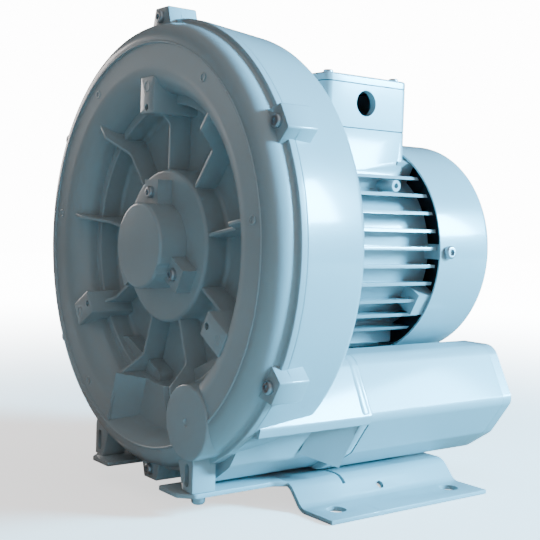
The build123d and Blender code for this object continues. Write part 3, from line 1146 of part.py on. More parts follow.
# Sheet foot: web under the silencers, Z-bent feet, two tongues to the front lugs
FLOOR_Z = -SHAFT_Z
with BuildPart() as foot_bracket:
    with BuildSketch(facing(FOOT_FRONT)) as foot_section:
        Polygon((0, WEB_TOP), (WEB_HALF_X, WEB_TOP), (WEB_HALF_X + RISER_RUN, FLOOR_Z + SHEET_T),
                (FOOT_HALF_X, FLOOR_Z + SHEET_T), (FOOT_HALF_X, FLOOR_Z),
                (WEB_HALF_X + RISER_RUN - 2, FLOOR_Z), (WEB_HALF_X - 2, WEB_TOP - SHEET_T),
                (0, WEB_TOP - SHEET_T), align=None)
        for spot in ((WEB_HALF_X, WEB_TOP), (WEB_HALF_X + RISER_RUN - 2, FLOOR_Z)):
            fillet(foot_section.vertices().sort_by_distance((*spot, 0))[0], BEND_R)
        for spot in ((WEB_HALF_X - 2, WEB_TOP - SHEET_T), (WEB_HALF_X + RISER_RUN, FLOOR_Z + SHEET_T)):
            fillet(foot_section.vertices().sort_by_distance((*spot, 0))[0], BEND_R - SHEET_T)
        mirror(about=Plane.YZ)
    extrude(amount=FOOT_FRONT - FOOT_REAR)
    with BuildSketch(level(WEB_TOP)):
        Polygon((TONGUE_IN_X, TONGUE_FRONT), (TONGUE_OUT_X - TONGUE_CHAMFER, TONGUE_FRONT),
                (TONGUE_OUT_X, TONGUE_FRONT + TONGUE_CHAMFER), (TONGUE_OUT_X, FOOT_FRONT + 1),
                (0, FOOT_FRONT + 1), (0, CUTOUT_REAR), (TONGUE_IN_X, CUTOUT_REAR - TONGUE_CHAMFER),
                align=None)
        mirror(about=Plane.YZ)
    extrude(amount=-SHEET_T)
    with BuildSketch(level(FLOOR_Z + SHEET_T)):
        with Locations((0, -SPLIT_Y)):
            with GridLocations(2 * FOOT_HOLE_X, FOOT_HOLE_PITCH_Y, 2, 2):
                Circle(FOOT_HOLE_R)
    extrude(amount=-SHEET_T, mode=Mode.SUBTRACT)
    with BuildSketch(level(WEB_TOP)):
        with Locations(*[(side * (SLIT_IN_X + SLIT_OUT_X) / 2, SLIT_Y) for side in (1, -1)]):
            SlotOverall(SLIT_OUT_X - SLIT_IN_X, SLIT_W)
    extrude(amount=FLOOR_Z + SHEET_T - WEB_TOP, mode=Mode.SUBTRACT)
    with Locations(*[lifted(side * RISER_HOLE_X, RISER_HOLE_Y, WEB_TOP) for side in (1, -1)]):
        Hole(RISER_HOLE_R, depth=WEB_TOP - FLOOR_Z)
    with Locations(*[lifted(side * FOOT_SCREW_X, FOOT_SCREW_Y, WEB_TOP) for side in (1, -1)],
                   *[lifted(side * REAR_SCREW_X, REAR_SCREW_Y, WEB_TOP) for side in (1, -1)]):
        Hole(M6_R + HOLE_GAP, depth=SHEET_T)
foot_bracket.part.label = "foot_bracket"
export_step(foot_bracket.part, "parts/foot_bracket.step")

# Screws: each group is one node of separate solids
SCREW_GROUPS = [
    ("cover_screws", pan_screw(M5_R, M5_HEAD_R, M5_HEAD_H, THREAD_DEPTH + 1 - LUG_FACE),
     [front_at(LUG_SCREW_R, angle, LUG_FACE) for angle in LUG_ANGLES]),
    ("cap_screws", pan_screw(M5_R, M5_HEAD_R, M5_HEAD_H, THREAD_DEPTH + HUB_FACE - CAP_BLOCK_FACE),
     [front_at(CAP_SCREW_R, angle, CAP_BLOCK_FACE) for angle in PAD_ANGLES]),
    ("motor_screws", pan_screw(M5_R, M5_HEAD_R, M5_HEAD_H, THREAD_DEPTH + MOTOR_FLANGE_T),
     [rear_at(*around(MOTOR_SCREW_AT, angle), MOTOR_FRONT + MOTOR_FLANGE_T) for angle in MOTOR_SCREW_ANGLES]),
    ("tie_screws", pan_screw(M5_R, M5_HEAD_R, M5_HEAD_H, SHIELD_REAR - TIE_LUG_Y - 1),
     [rear_at(*around(TIE_R, angle), SHIELD_REAR) for angle in TIE_ANGLES]),
    ("cowl_screws", pan_screw(M6_R, M6_HEAD_R, M6_HEAD_H, THREAD_DEPTH + COWL_T),
     [radial_at(COWL_R, 90 * k, ARM_Y) for k in range(4)]),
    ("lid_screws", pan_screw(M4_R, M4_HEAD_R, M4_HEAD_H, LID_TOP - BOX_TOP + THREAD_DEPTH),
     [lifted(x, BOX_MID + y, LID_TOP) for x, y in LID_SPOTS]),
    ("box_screws", pan_screw(M4_R, M4_HEAD_R, M4_HEAD_H, BOX_FLOOR - NECK_TOP + THREAD_DEPTH - 1),
     [lifted(x, BOX_MID + y, BOX_FLOOR) for x, y in BOX_SCREW_SPOTS]),
    ("silencer_bolts", hex_screw(M5_R, BOLT_AF, BOLT_HEAD_H, SILENCER_END - DUCT_END + DUCT_FLANGE_T - 2),
     [rear_at(side * x, z, SILENCER_END) for x, z in BOLT_SPOTS for side in (1, -1)]),
    ("front_foot_screws", pan_screw(M6_R, FOOT_SCREW_HEAD_R, FOOT_SCREW_HEAD, SHEET_T + THREAD_DEPTH),
     [below(side * FOOT_SCREW_X, FOOT_SCREW_Y, WEB_TOP - SHEET_T) for side in (1, -1)]),
    ("rear_foot_screws", pan_screw(M6_R, FOOT_SCREW_HEAD_R, FOOT_SCREW_HEAD, SHEET_T + REAR_BOSS_T - REST_GAP),
     [below(side * REAR_SCREW_X, REAR_SCREW_Y, WEB_TOP - SHEET_T) for side in (1, -1)]),
]
for name, screw, places in SCREW_GROUPS:
    with BuildPart() as group:
        with Locations(*places):
            add(screw)
    group.part.label = name
    export_step(group.part, "parts/" + name + ".step")
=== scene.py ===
"""Looks of the side channel blower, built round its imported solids."""

import json
import math

import bmesh
import bpy
from mathutils import Matrix, Vector


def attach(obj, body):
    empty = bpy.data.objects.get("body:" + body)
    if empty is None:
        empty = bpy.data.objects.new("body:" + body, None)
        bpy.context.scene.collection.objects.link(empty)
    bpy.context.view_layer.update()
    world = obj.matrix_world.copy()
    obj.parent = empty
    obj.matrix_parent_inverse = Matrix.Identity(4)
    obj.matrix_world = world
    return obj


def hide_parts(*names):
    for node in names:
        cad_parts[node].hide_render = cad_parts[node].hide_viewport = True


bl_info = {
    "name": "Side Channel Blower",
    "version": (1, 0, 0),
    "blender": (4, 5, 0),
    "location": "3D View > Sidebar > Blower",
    "description": "Dresses the packed side channel blower with shapes, paint and metal finishes",
    "category": "Add Mesh",
}

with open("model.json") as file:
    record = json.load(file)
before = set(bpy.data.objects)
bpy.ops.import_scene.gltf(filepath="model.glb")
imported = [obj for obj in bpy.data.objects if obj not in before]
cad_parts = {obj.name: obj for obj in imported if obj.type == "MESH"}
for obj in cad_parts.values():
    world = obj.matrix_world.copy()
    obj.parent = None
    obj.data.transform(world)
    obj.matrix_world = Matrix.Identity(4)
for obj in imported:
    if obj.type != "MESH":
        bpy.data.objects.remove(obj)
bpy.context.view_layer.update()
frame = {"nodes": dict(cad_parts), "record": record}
NODES = frame["nodes"]

MM = 0.001

# Origin of the drawn shapes, in millimetres: the joint of cover and casing, on the shaft axis
SPLIT_Y = -139.5
SHAFT_Z = 189.0

# Angles between faces: what is rounded, what is shaded as one surface, what counts as flat
SHARP_EDGE = math.radians(25)
SMOOTH_FORM = math.radians(38)
BEVEL_ANGLE = math.radians(30)
SMOOTH_COPY = math.radians(32)
FLAT_ANGLE = math.radians(0.6)

# The part of its range where most of a noise lies
NOISE_LOW = 0.3
NOISE_HIGH = 0.7


# Shader maths as expressions


class Sock:
    """A node socket that takes part in Python arithmetic."""

    def __init__(self, tree, socket):
        self.tree = tree
        self.socket = socket

    def maths(self, operation, one, other):
        return self.tree.node("ShaderNodeMath", {"operation": operation}, {0: one, 1: other})

    def __add__(self, other):
        return self.maths("ADD", self, other)

    def __radd__(self, other):
        return self.maths("ADD", other, self)

    def __mul__(self, other):
        return self.maths("MULTIPLY", self, other)

    def __rmul__(self, other):
        return self.maths("MULTIPLY", other, self)


class Tree:
    """The nodes of a material or of the world, all made by one method."""

    def __init__(self, owner):
        owner.use_nodes = True
        self.nodes = owner.node_tree.nodes
        self.links = owner.node_tree.links

    def put(self, node, key, value):
        """Gives an input of a node a value, or a link from a socket."""
        if isinstance(value, Sock):
            self.links.new(value.socket, node.inputs[key])
        else:
            node.inputs[key].default_value = value

    def node(self, kind, settings, inputs, output=0):
        """Adds a node of any kind and gives one of its output sockets."""
        made = self.nodes.new(kind)
        for key, value in settings.items():
            setattr(made, key, value)
        for key, value in inputs.items():
            self.put(made, key, value)
        return Sock(self, made.outputs[output])


class Finish(Tree):
    """A material under construction."""

    def __init__(self, name, metallic=0.0, coat=0.0, specular=0.5):
        self.material = bpy.data.materials.new(name)
        super().__init__(self.material)
        self.shader = self.nodes["Principled BSDF"]
        self.feed(Metallic=metallic, Coat_Weight=coat, Specular_IOR_Level=specular)
        self.place = self.node("ShaderNodeTexCoord", {}, {}, "Object")

    def noise(self, scale, detail=3.0, roughness=0.5, stretch=None):
        """Soft noise over the object, finer with a larger scale."""
        place = self.place
        if stretch:
            place = self.node("ShaderNodeMapping", {}, {"Vector": place, "Scale": stretch})
        inputs = {"Vector": place, "Scale": scale, "Detail": detail, "Roughness": roughness}
        return self.node("ShaderNodeTexNoise", {}, inputs, "Fac")

    def between(self, value, low, high):
        """A noise rescaled so that most of it runs from low to high."""
        inputs = {"Value": value, "From Min": NOISE_LOW, "From Max": NOISE_HIGH,
                  "To Min": low, "To Max": high}
        return self.node("ShaderNodeMapRange", {}, inputs)

    def mix(self, share, one, other):
        """One colour turned into another by a share."""
        return self.node("ShaderNodeMix", {"data_type": "RGBA"}, {0: share, 6: one, 7: other}, 2)

    def bump(self, height, strength, distance, under=None):
        """Relief from a height, over the relief that lies under it."""
        inputs = {"Height": height, "Strength": strength, "Distance": distance}
        if under:
            inputs["Normal"] = under
        return self.node("ShaderNodeBump", {}, inputs)

    def feed(self, **values):
        """Sets the shader's inputs, named with underscores for spaces."""
        for key, value in values.items():
            self.put(self.shader, key.replace("_", " "), value)
        return self.material


def shade(colour, factor):
    """A colour made lighter or darker."""
    return (*[min(1.0, c * factor) for c in colour[:3]], 1.0)


def paint_finish(name, colour, roughness, grain, coat=0.7):
    """Satin stoving paint over a sand casting or a pressed sheet."""
    finish = Finish(name, coat=coat)
    finish.feed(Coat_Roughness=0.1)
    cloud = finish.noise(7.0)
    peel = finish.noise(900.0, detail=2.0)
    cast = finish.noise(260.0, detail=4.0, roughness=0.65)
    tone = finish.mix(finish.between(cloud, 0.0, 1.0), shade(colour, 0.965), shade(colour, 1.03))
    gloss = finish.between(cloud + peel * 0.25, roughness - 0.03, roughness + 0.06)
    relief = finish.bump(peel, 0.12, 0.0003, finish.bump(cast, grain, 0.0004))
    return finish.feed(Base_Color=tone, Roughness=gloss, Normal=relief)


def metal_finish(name, colour, roughness):
    """Plated or ground steel with fine scratches."""
    finish = Finish(name, metallic=1.0)
    cloud = finish.noise(90.0, detail=4.0)
    lines = finish.noise(600.0, detail=2.0, stretch=(1.0, 8.0, 1.0))
    tone = finish.mix(finish.between(cloud, 0.0, 1.0), shade(colour, 0.88), shade(colour, 1.06))
    gloss = finish.between(cloud, roughness - 0.06, roughness + 0.12)
    relief = finish.bump(lines, 0.08, 0.0001)
    return finish.feed(Base_Color=tone, Roughness=gloss, Normal=relief)


def matt_finish(name, colour, roughness, scale, strength):
    """Rubber, plastic, foam and board: one tone with a soft grain."""
    finish = Finish(name, specular=0.4)
    grain = finish.noise(scale, detail=4.0, roughness=0.6)
    tone = finish.mix(finish.between(grain, 0.0, 1.0), shade(colour, 0.8), shade(colour, 1.2))
    gloss = finish.between(grain, roughness - 0.05, min(1.0, roughness + 0.08))
    relief = finish.bump(grain, strength, 0.0005)
    return finish.feed(Base_Color=tone, Roughness=gloss, Normal=relief)


def copper_finish(name, colour):
    """Enamelled winding heads: fine wires that run round the shaft."""
    finish = Finish(name, metallic=0.4, coat=0.3)
    shaft = finish.node("ShaderNodeMapping", {},
                        {"Vector": finish.place, "Location": (0.0, 0.0, -SHAFT_Z * MM)})
    wires = finish.node("ShaderNodeTexWave", {"wave_type": "RINGS", "rings_direction": "Y"},
                        {"Vector": shaft, "Scale": 420.0, "Distortion": 2.0}, "Fac")
    tone = finish.mix(wires, shade(colour, 0.5), shade(colour, 1.1))
    relief = finish.bump(wires, 0.5, 0.0006)
    return finish.feed(Base_Color=tone, Roughness=0.38, Normal=relief)


# Modelling helpers: drawn in millimetres from the joint plane and the shaft axis


def section(along, radius):
    """A point of a section that is turned about the shaft."""
    return Vector((0.0, along, radius))


def facing(along):
    """Drawing plane across the shaft."""
    return lambda x, z: Vector((x, along, z))


def level(height):
    """Drawing plane parallel to the floor."""
    return lambda x, along: Vector((x, along, height))


def side(x):
    """Upright drawing plane along the shaft."""
    return lambda along, z: Vector((x, along, z))


def radial(offset):
    """Drawing plane through the shaft, for shapes drawn towards +X."""
    return lambda along, radius: Vector((radius, along, offset))


class Form:
    """Closed shapes of one piece, made with bmesh operators."""

    LARGE_RADIUS = 12
    ON_FACE = 0.01
    SAME_PLACE = 0.0005

    def __init__(self):
        self.bm = bmesh.new()
        self.done = self.bm.verts.layers.int.new("done")

    def fresh(self):
        """Marks what exists, so that later steps touch only what is new."""
        for vert in self.bm.verts:
            vert[self.done] = 1

    def new_verts(self):
        return [vert for vert in self.bm.verts if not vert[self.done]]

    def plate(self, place, points, radii=None, segments=6):
        """A flat face through points, its corners rounded by one radius or one each."""
        verts = [self.bm.verts.new(place(*point)) for point in points]
        self.bm.faces.new(verts)
        count = len(verts)
        radii = radii if isinstance(radii, (list, tuple)) else [radii or 0] * count
        cuts = []
        for k, radius in enumerate(radii):
            if radius:
                before = (verts[k - 1].co - verts[k].co).normalized()
                after = (verts[(k + 1) % count].co - verts[k].co).normalized()
                cuts.append((verts[k], radius / math.tan(before.angle(after) / 2), radius))
        for vert, setback, radius in cuts:
            steps = segments if radius < self.LARGE_RADIUS else 2 * segments
            bmesh.ops.bevel(self.bm, geom=[vert], offset=setback, offset_type="OFFSET", segments=steps,
                            profile=0.5, affect="VERTICES", clamp_overlap=False, material=-1)
        return self.new_verts()[0].link_faces[0]

    def raise_by(self, face, depth):
        """Turns a flat face into a solid by moving a copy of it by a vector."""
        made = bmesh.ops.extrude_face_region(self.bm, geom=[face])
        moved = [item for item in made["geom"] if isinstance(item, bmesh.types.BMVert)]
        bmesh.ops.translate(self.bm, verts=moved, vec=Vector(depth))

    def ring(self, points, radii, steps):
        """A closed ring about the shaft from a section of (along, radius) points."""
        self.fresh()
        face = self.plate(section, points, radii)
        bmesh.ops.delete(self.bm, geom=[face], context="FACES_ONLY")
        verts = self.new_verts()
        edges = list({edge for vert in verts for edge in vert.link_edges})
        bmesh.ops.spin(self.bm, geom=verts + edges, cent=(0, 0, 0), axis=(0, 1, 0), angle=2 * math.pi,
                       steps=steps, use_merge=True)

    def sector(self, points, radii, start, end, steps):
        """Part of a ring between two angles, counted from +X up to +Z, with closed ends."""
        self.fresh()
        self.plate(section, points, radii)
        verts = self.new_verts()
        bmesh.ops.rotate(self.bm, verts=verts, cent=(0, 0, 0),
                         matrix=Matrix.Rotation(math.radians(90 - start), 3, "Y"))
        edges = {edge for vert in verts for edge in vert.link_edges}
        faces = {face for vert in verts for face in vert.link_faces}
        bmesh.ops.spin(self.bm, geom=[*verts, *edges, *faces], cent=(0, 0, 0), axis=(0, 1, 0),
                       angle=-math.radians(end - start), steps=steps)
        bmesh.ops.recalc_face_normals(self.bm, faces=self.bm.faces[:])

    def soften(self, radius, choose=None):
        """Rounds the sharp edges of the newest shape, or those whose middle is chosen."""
        self.bm.normal_update()
        edges = []
        for edge in {edge for vert in self.new_verts() for edge in vert.link_edges}:
            if len(edge.link_faces) == 2 and edge.calc_face_angle(0.0) > SHARP_EDGE:
                if choose is None or choose((edge.verts[0].co + edge.verts[1].co) / 2):
                    edges.append(edge)
        edges.sort(key=lambda edge: tuple((edge.verts[0].co + edge.verts[1].co)[:]))
        bmesh.ops.bevel(self.bm, geom=edges, offset=radius, offset_type="OFFSET", segments=2,
                        profile=0.5, affect="EDGES", clamp_overlap=True, material=-1)

    def prism(self, place, points, depth, radii=None, edge=0.0, choose=None):
        """A rounded outline raised by a vector, with its edges softened."""
        self.fresh()
        self.raise_by(self.plate(place, points, radii), depth)
        if edge:
            bmesh.ops.recalc_face_normals(self.bm, faces=self.bm.faces[:])
            self.soften(edge, choose)

    def hull(self, points):
        """A closed convex block round a few corner points."""
        self.fresh()
        verts = [self.bm.verts.new(point) for point in points]
        bmesh.ops.convex_hull(self.bm, input=verts)

    def newest(self):
        """Vertices, edges and faces made since the last mark."""
        verts = self.new_verts()
        geometry = {*verts}
        for vert in verts:
            geometry.update(vert.link_edges)
            geometry.update(vert.link_faces)
        return verts, list(geometry)

    def stamp(self, places):
        """Copies the newest shape to each place, a matrix in millimetres."""
        verts, geometry = self.newest()
        for place in places[1:]:
            made = bmesh.ops.duplicate(self.bm, geom=geometry)
            copies = [item for item in made["geom"] if isinstance(item, bmesh.types.BMVert)]
            bmesh.ops.transform(self.bm, verts=copies, matrix=place)
        bmesh.ops.transform(self.bm, verts=verts, matrix=places[0])

    def repeat(self, angles):
        """Copies of the newest shape, drawn towards +X, at angles about the shaft."""
        self.stamp([Matrix.Rotation(-math.radians(angle), 4, "Y") for angle in angles])

    def mirrored(self):
        """The newest shape again on the other side of the middle plane."""
        verts, geometry = self.newest()
        made = bmesh.ops.duplicate(self.bm, geom=geometry)
        copies = [item for item in made["geom"] if isinstance(item, bmesh.types.BMVert)]
        bmesh.ops.scale(self.bm, verts=copies, vec=(-1, 1, 1))

    def opened(self, spot):
        """Removes the flat face that holds a point, and gives its edges."""
        self.bm.normal_update()
        holding = [face for face in self.bm.faces
                   if abs((spot - face.calc_center_median()).dot(face.normal)) < self.ON_FACE
                   and bmesh.geometry.intersect_face_point(face, spot)]
        face = max(holding, key=lambda face: face.calc_area())
        outline = face.edges[:]
        bmesh.ops.delete(self.bm, geom=[face], context="FACES_ONLY")
        return outline

    def drill(self, place, x, y, radius, depth, steps=24, length=0.0, through=False):
        """A hole along a vector in the flat face that holds the point, or with a length an upright slot."""
        outline = self.opened(place(x, y))
        made = bmesh.ops.create_circle(self.bm, cap_ends=False, radius=radius, segments=steps)
        for vert in made["verts"]:
            away = length / 2 if vert.co.y > 0 else -length / 2
            vert.co = place(x + vert.co.x, y + vert.co.y + away)
        rim = list({edge for vert in made["verts"] for edge in vert.link_edges})
        bmesh.ops.triangle_fill(self.bm, use_beauty=True, edges=outline + rim)
        wall = bmesh.ops.extrude_edge_only(self.bm, edges=rim)["geom"]
        moved = [item for item in wall if isinstance(item, bmesh.types.BMVert)]
        bmesh.ops.translate(self.bm, verts=moved, vec=depth)
        end = [item for item in wall if isinstance(item, bmesh.types.BMEdge) and len(item.link_faces) == 1]
        if through:
            outline = self.opened(place(x, y) + Vector(depth))
            bmesh.ops.triangle_fill(self.bm, use_beauty=True, edges=outline + end)
        else:
            bmesh.ops.edgeloop_fill(self.bm, edges=end)

    def lathe(self, points, radii, steps):
        """A closed turned shape about the upright axis from (radius, height) points."""
        self.fresh()
        face = self.plate(lambda radius, height: Vector((radius, 0, height)), points, radii, segments=4)
        bmesh.ops.delete(self.bm, geom=[face], context="FACES_ONLY")
        verts = self.new_verts()
        edges = list({edge for vert in verts for edge in vert.link_edges})
        bmesh.ops.spin(self.bm, geom=verts + edges, cent=(0, 0, 0), axis=(0, 0, 1), angle=2 * math.pi,
                       steps=steps, use_merge=True)
        bmesh.ops.remove_doubles(self.bm, verts=self.new_verts(), dist=self.SAME_PLACE)
        axis = [edge for edge in self.bm.edges if not edge.link_faces]
        bmesh.ops.delete(self.bm, geom=axis, context="EDGES")

    def finish(self, name, body, material, slot, stands_for):
        """Makes the shapes one piece, in metres in the shared frame, and checks that they are closed."""
        bmesh.ops.scale(self.bm, verts=self.bm.verts[:], vec=(MM, MM, MM))
        bmesh.ops.translate(self.bm, verts=self.bm.verts[:], vec=(0, SPLIT_Y * MM, SHAFT_Z * MM))
        bmesh.ops.recalc_face_normals(self.bm, faces=self.bm.faces[:])
        if any(len(edge.link_faces) != 2 for edge in self.bm.edges):
            raise RuntimeError(name + " is not closed")
        dress(name, self.bm, SMOOTH_FORM, body, material, stands_for)


def dress(name, bm, smooth, body, material, stands_for):
    """A new piece from a bmesh, with its finish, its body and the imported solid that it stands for."""
    mesh = bpy.data.meshes.new(name)
    bm.to_mesh(mesh)
    bm.free()
    mesh.shade_smooth()
    mesh.set_sharp_from_angle(angle=smooth)
    mesh.materials.append(bpy.data.materials[material])
    piece = bpy.data.objects.new(name, mesh)
    bpy.context.scene.collection.objects.link(piece)
    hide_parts(stands_for)
    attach(piece, body)
    return piece


# Cover and casing: angles in degrees from the right side upwards, lengths in millimetres. A section's points
# are (along the shaft, radius, rounding of the corner).

LUG_ANGLES = [90 + 60 * k for k in range(6)]
PAD_ANGLES = [90, -30, -150]
RIB_ANGLES = [90 + 40 * k for k in range(9)]
MARK_ANGLES = [57, 123, 9, 171, -54, 234]
RIM_R = 167
CHANNEL_OUT = 155.5
CHANNEL_IN = 116.5
CHANNEL_ARC = 15.9
POCKET = 18.6  # half the angle that the pocket over the gate takes
POCKET_WALL = 3.1  # the angle that the wall beside it takes
PAD_FACE = -21.2
LUG_FACE = -10.4
FOOT_LUG_FACE = -19


def front_spot(radius, degrees, along):
    """Place of a turned mark on a front face, at a radius and an angle about the shaft."""
    turn = math.radians(degrees)
    place = Matrix.Translation((radius * math.cos(turn), along, radius * math.sin(turn)))
    return place @ Matrix.Rotation(math.radians(90), 4, "X")


def cover_form():
    """Front half of the channel ring with its dish, ribs, pads, lugs and bosses."""
    form = Form()
    dish = [(-3.5, 26.02, 0), (-3.5, 57.5, 3), (16.5, 57.5, 4), (16.5, 105.5, 4)]
    shoulder = [(-1.2, 105.5, 1.2), (-1.2, 112, 0), (-21.7, 112, 20.4), (-21.7, 147.4, 0.25)]
    lip = [(-23.3, 147.7, 0.5), (-23.3, 149.0, 0.5), (-22.5, 149.4, 0.2)]
    outer = [(-22.5, 163.2, 13.4), (-5, 163.2, 1.5), (-5, RIM_R, 1), (0, RIM_R, 0)]
    channel = [(0, CHANNEL_OUT, 0), (-17.2, CHANNEL_OUT, CHANNEL_ARC), (-17.2, CHANNEL_IN, CHANNEL_ARC),
               (3.3, CHANNEL_IN, 0)]
    closed = [(0, CHANNEL_OUT, 0), (3.3, CHANNEL_OUT, 0)]
    rear = [(3.3, 110, 0), (21, 110, 0), (21, 20, 0), (14.2, 20, 0), (14.2, 15.3, 0), (12.5, 15.3, 0),
            (12.5, 26.02, 0)]
    pocket = [(-2, 105.5, 1), (-2, 138.5, 2)]
    # Most of the ring, the two walls beside the gate, and the pocket over it; neighbours overlap a little
    for middle, start, end, steps in (
            (shoulder + lip + outer + channel, POCKET + 3, 360 - POCKET - 3, 156),
            (shoulder + lip + outer + closed, POCKET, POCKET + POCKET_WALL, 2),
            (shoulder + lip + outer + closed, 360 - POCKET - POCKET_WALL, 360 - POCKET, 2),
            (pocket + lip + outer + closed, -POCKET - 0.4, POCKET + 0.4, 20)):
        body = dish + middle + rear
        form.sector([p[:2] for p in body], [p[2] for p in body], start - 90, end - 90, steps)
    # Sloping side walls of the pocket over the gate
    for hand in (1, -1):
        form.prism(side(105.6), [(-22.2, 0), (-1, 0), (-1, hand * 13)], (41.5, 0, 0))
        form.repeat([-90 - hand * (POCKET + 0.6)])
    # Ribs: thin, with draft, kinked where they climb the channel wall
    rib = [(17.5, 56.5), (-0.8, 56.5), (-0.8, 91), (-18.2, 107), (-18.2, 122.5), (-1.2, 114), (17.5, 107.5)]
    form.fresh()
    form.raise_by(form.plate(radial(-1.9), rib, [0, 0, 5, 2, 1, 0, 0]), (0, 0, 3.8))
    top = [vert for vert in form.new_verts() if vert.co.y < 0]
    bmesh.ops.scale(form.bm, verts=top, vec=(1, 1, 0.72))
    bmesh.ops.recalc_face_normals(form.bm, faces=form.bm.faces[:])
    form.soften(0.9, choose=lambda m: m.y < -0.5 and abs(m.z) > 0.5)
    form.repeat(RIB_ANGLES)
    # Pads with a threaded hole and a round mark
    form.prism(facing(PAD_FACE), [(97, -9.75), (124, -9.75), (124, 9.75), (97, 9.75)], (0, 38.7, 0),
               [1.5, 2, 2, 1.5], 1.1, lambda m: m.y < -20)
    form.drill(facing(PAD_FACE), 101.5, 0, 2.5, (0, 12, 0))
    form.repeat(PAD_ANGLES)
    form.lathe([(2.9, 0), (4.3, 0), (4.3, 0.45), (2.9, 0.45)], [0, 0, 0.25, 0.25], 40)
    form.stamp([front_spot(117, angle, -21.1) for angle in PAD_ANGLES])
    form.lathe([(2.0, 0), (3.2, 0), (3.2, 0.6), (2.0, 0.6)], [0, 0, 0.3, 0.3], 40)
    form.stamp([front_spot(139, angle, -21.6) for angle in MARK_ANGLES])
    # Round boss over the gate, with a dimple
    form.lathe([(0, 0), (26.5, 0), (26.5, 22.7), (3, 22.7), (2.2, 21.7), (0, 21.7)],
               [0, 0, 1.4, 0.3, 0.3, 0], 72)
    form.stamp([front_spot(138, -60, -1.2)])
    # Lugs of the cover screws and of the foot
    form.prism(facing(LUG_FACE), [(150, -16.5), (176, -9), (176, 9), (150, 16.5)], (0, -LUG_FACE, 0),
               [0, 1.6, 1.6, 0], 0.9, lambda m: m.y < -10)
    form.drill(facing(LUG_FACE), 168.5, 0, 2.8, (0, 9.5, 0))
    form.repeat(LUG_ANGLES)
    form.prism(facing(FOOT_LUG_FACE), [(59, -170), (72.5, -170), (72.5, -146), (64.5, -120), (43, -120)],
               (0, -FOOT_LUG_FACE, 0), [1, 1, 1.5, 0, 0], 0.9, lambda m: m.y < -18)
    form.drill(facing(FOOT_LUG_FACE), 65, -158, 2.6, (0, 5, 0), length=11)
    form.mirrored()
    return form


def casing_form():
    """Rear half of the channel ring with its motor seat, lugs and rear ribs."""
    form = Form()
    shell = [(0, CHANNEL_OUT, 0), (0, RIM_R, 1.0), (3, 166.7, 0), (56.5, 161, 8), (56.5, 112, 3),
             (38.5, 112, 3), (38.5, 84, 3), (60, 84, 1), (60, 62, 0), (38.5, 62, 0), (38.5, 36, 0),
             (55, 36, 0), (55, 20, 0), (47.8, 20, 0), (47.8, 15.3, 0), (47, 15.3, 0), (47, 25, 0),
             (33.5, 25, 0), (33.5, 110, 0), (31.5, 110, 0), (31.5, CHANNEL_IN, 0),
             (52, CHANNEL_IN, CHANNEL_ARC), (52, CHANNEL_OUT, CHANNEL_ARC)]
    form.ring([p[:2] for p in shell], [p[2] for p in shell], 180)
    form.prism(facing(0), [(160, -14), (176, -9), (176, 9), (160, 14)], (0, 14, 0),
               [0, 1.6, 1.6, 0], 0.9, lambda m: m.y > 13)
    form.repeat(LUG_ANGLES)
    form.prism(facing(38), [(82, -2.25), (113, -2.25), (113, 2.25), (82, 2.25)], (0, 13.5, 0), None, 0.9,
               lambda m: m.y > 50)
    form.repeat(RIB_ANGLES)
    return form


# Outlines across the shaft, seen from the front, and the corners of the gusset
DUCT_BODY = [(13, -168), (60, -168), (84, -151), (100, -125), (116.5, -125), (118.5, -118.5), (97.5, -76.5),
             (64, -76.5), (13, -98)]
DUCT_BODY_RADII = [6, 18, 12, 3, 1.5, 3, 14, 8, 6]
TUBE = [(13, -168), (70, -168), (98, -149.5), (119.5, -119.5), (97.5, -76.5), (64, -76.5), (13, -98)]
TUBE_RADII = [6, 22, 12, 9, 14, 8, 6]
GUSSET = [(116, 97, -122), (93, 97, -161), (88, 62, -147), (99, 66, -124), (84, 97, -126), (80, 97, -152)]
FOOT_SHEET = 3.5


def duct_form(hand):
    """Duct from the casing to the right (1) or left (-1) silencer, with its ledge, gusset and flange."""
    form = Form()
    form.prism(facing(4), [(hand * x, z) for x, z in DUCT_BODY], (0, 101, 0), DUCT_BODY_RADII)
    form.prism(facing(96), [(hand * x, z) for x, z in TUBE], (0, 8.2, 0), TUBE_RADII, 1.3)
    form.hull([(hand * x, along, z) for x, along, z in GUSSET])
    return form


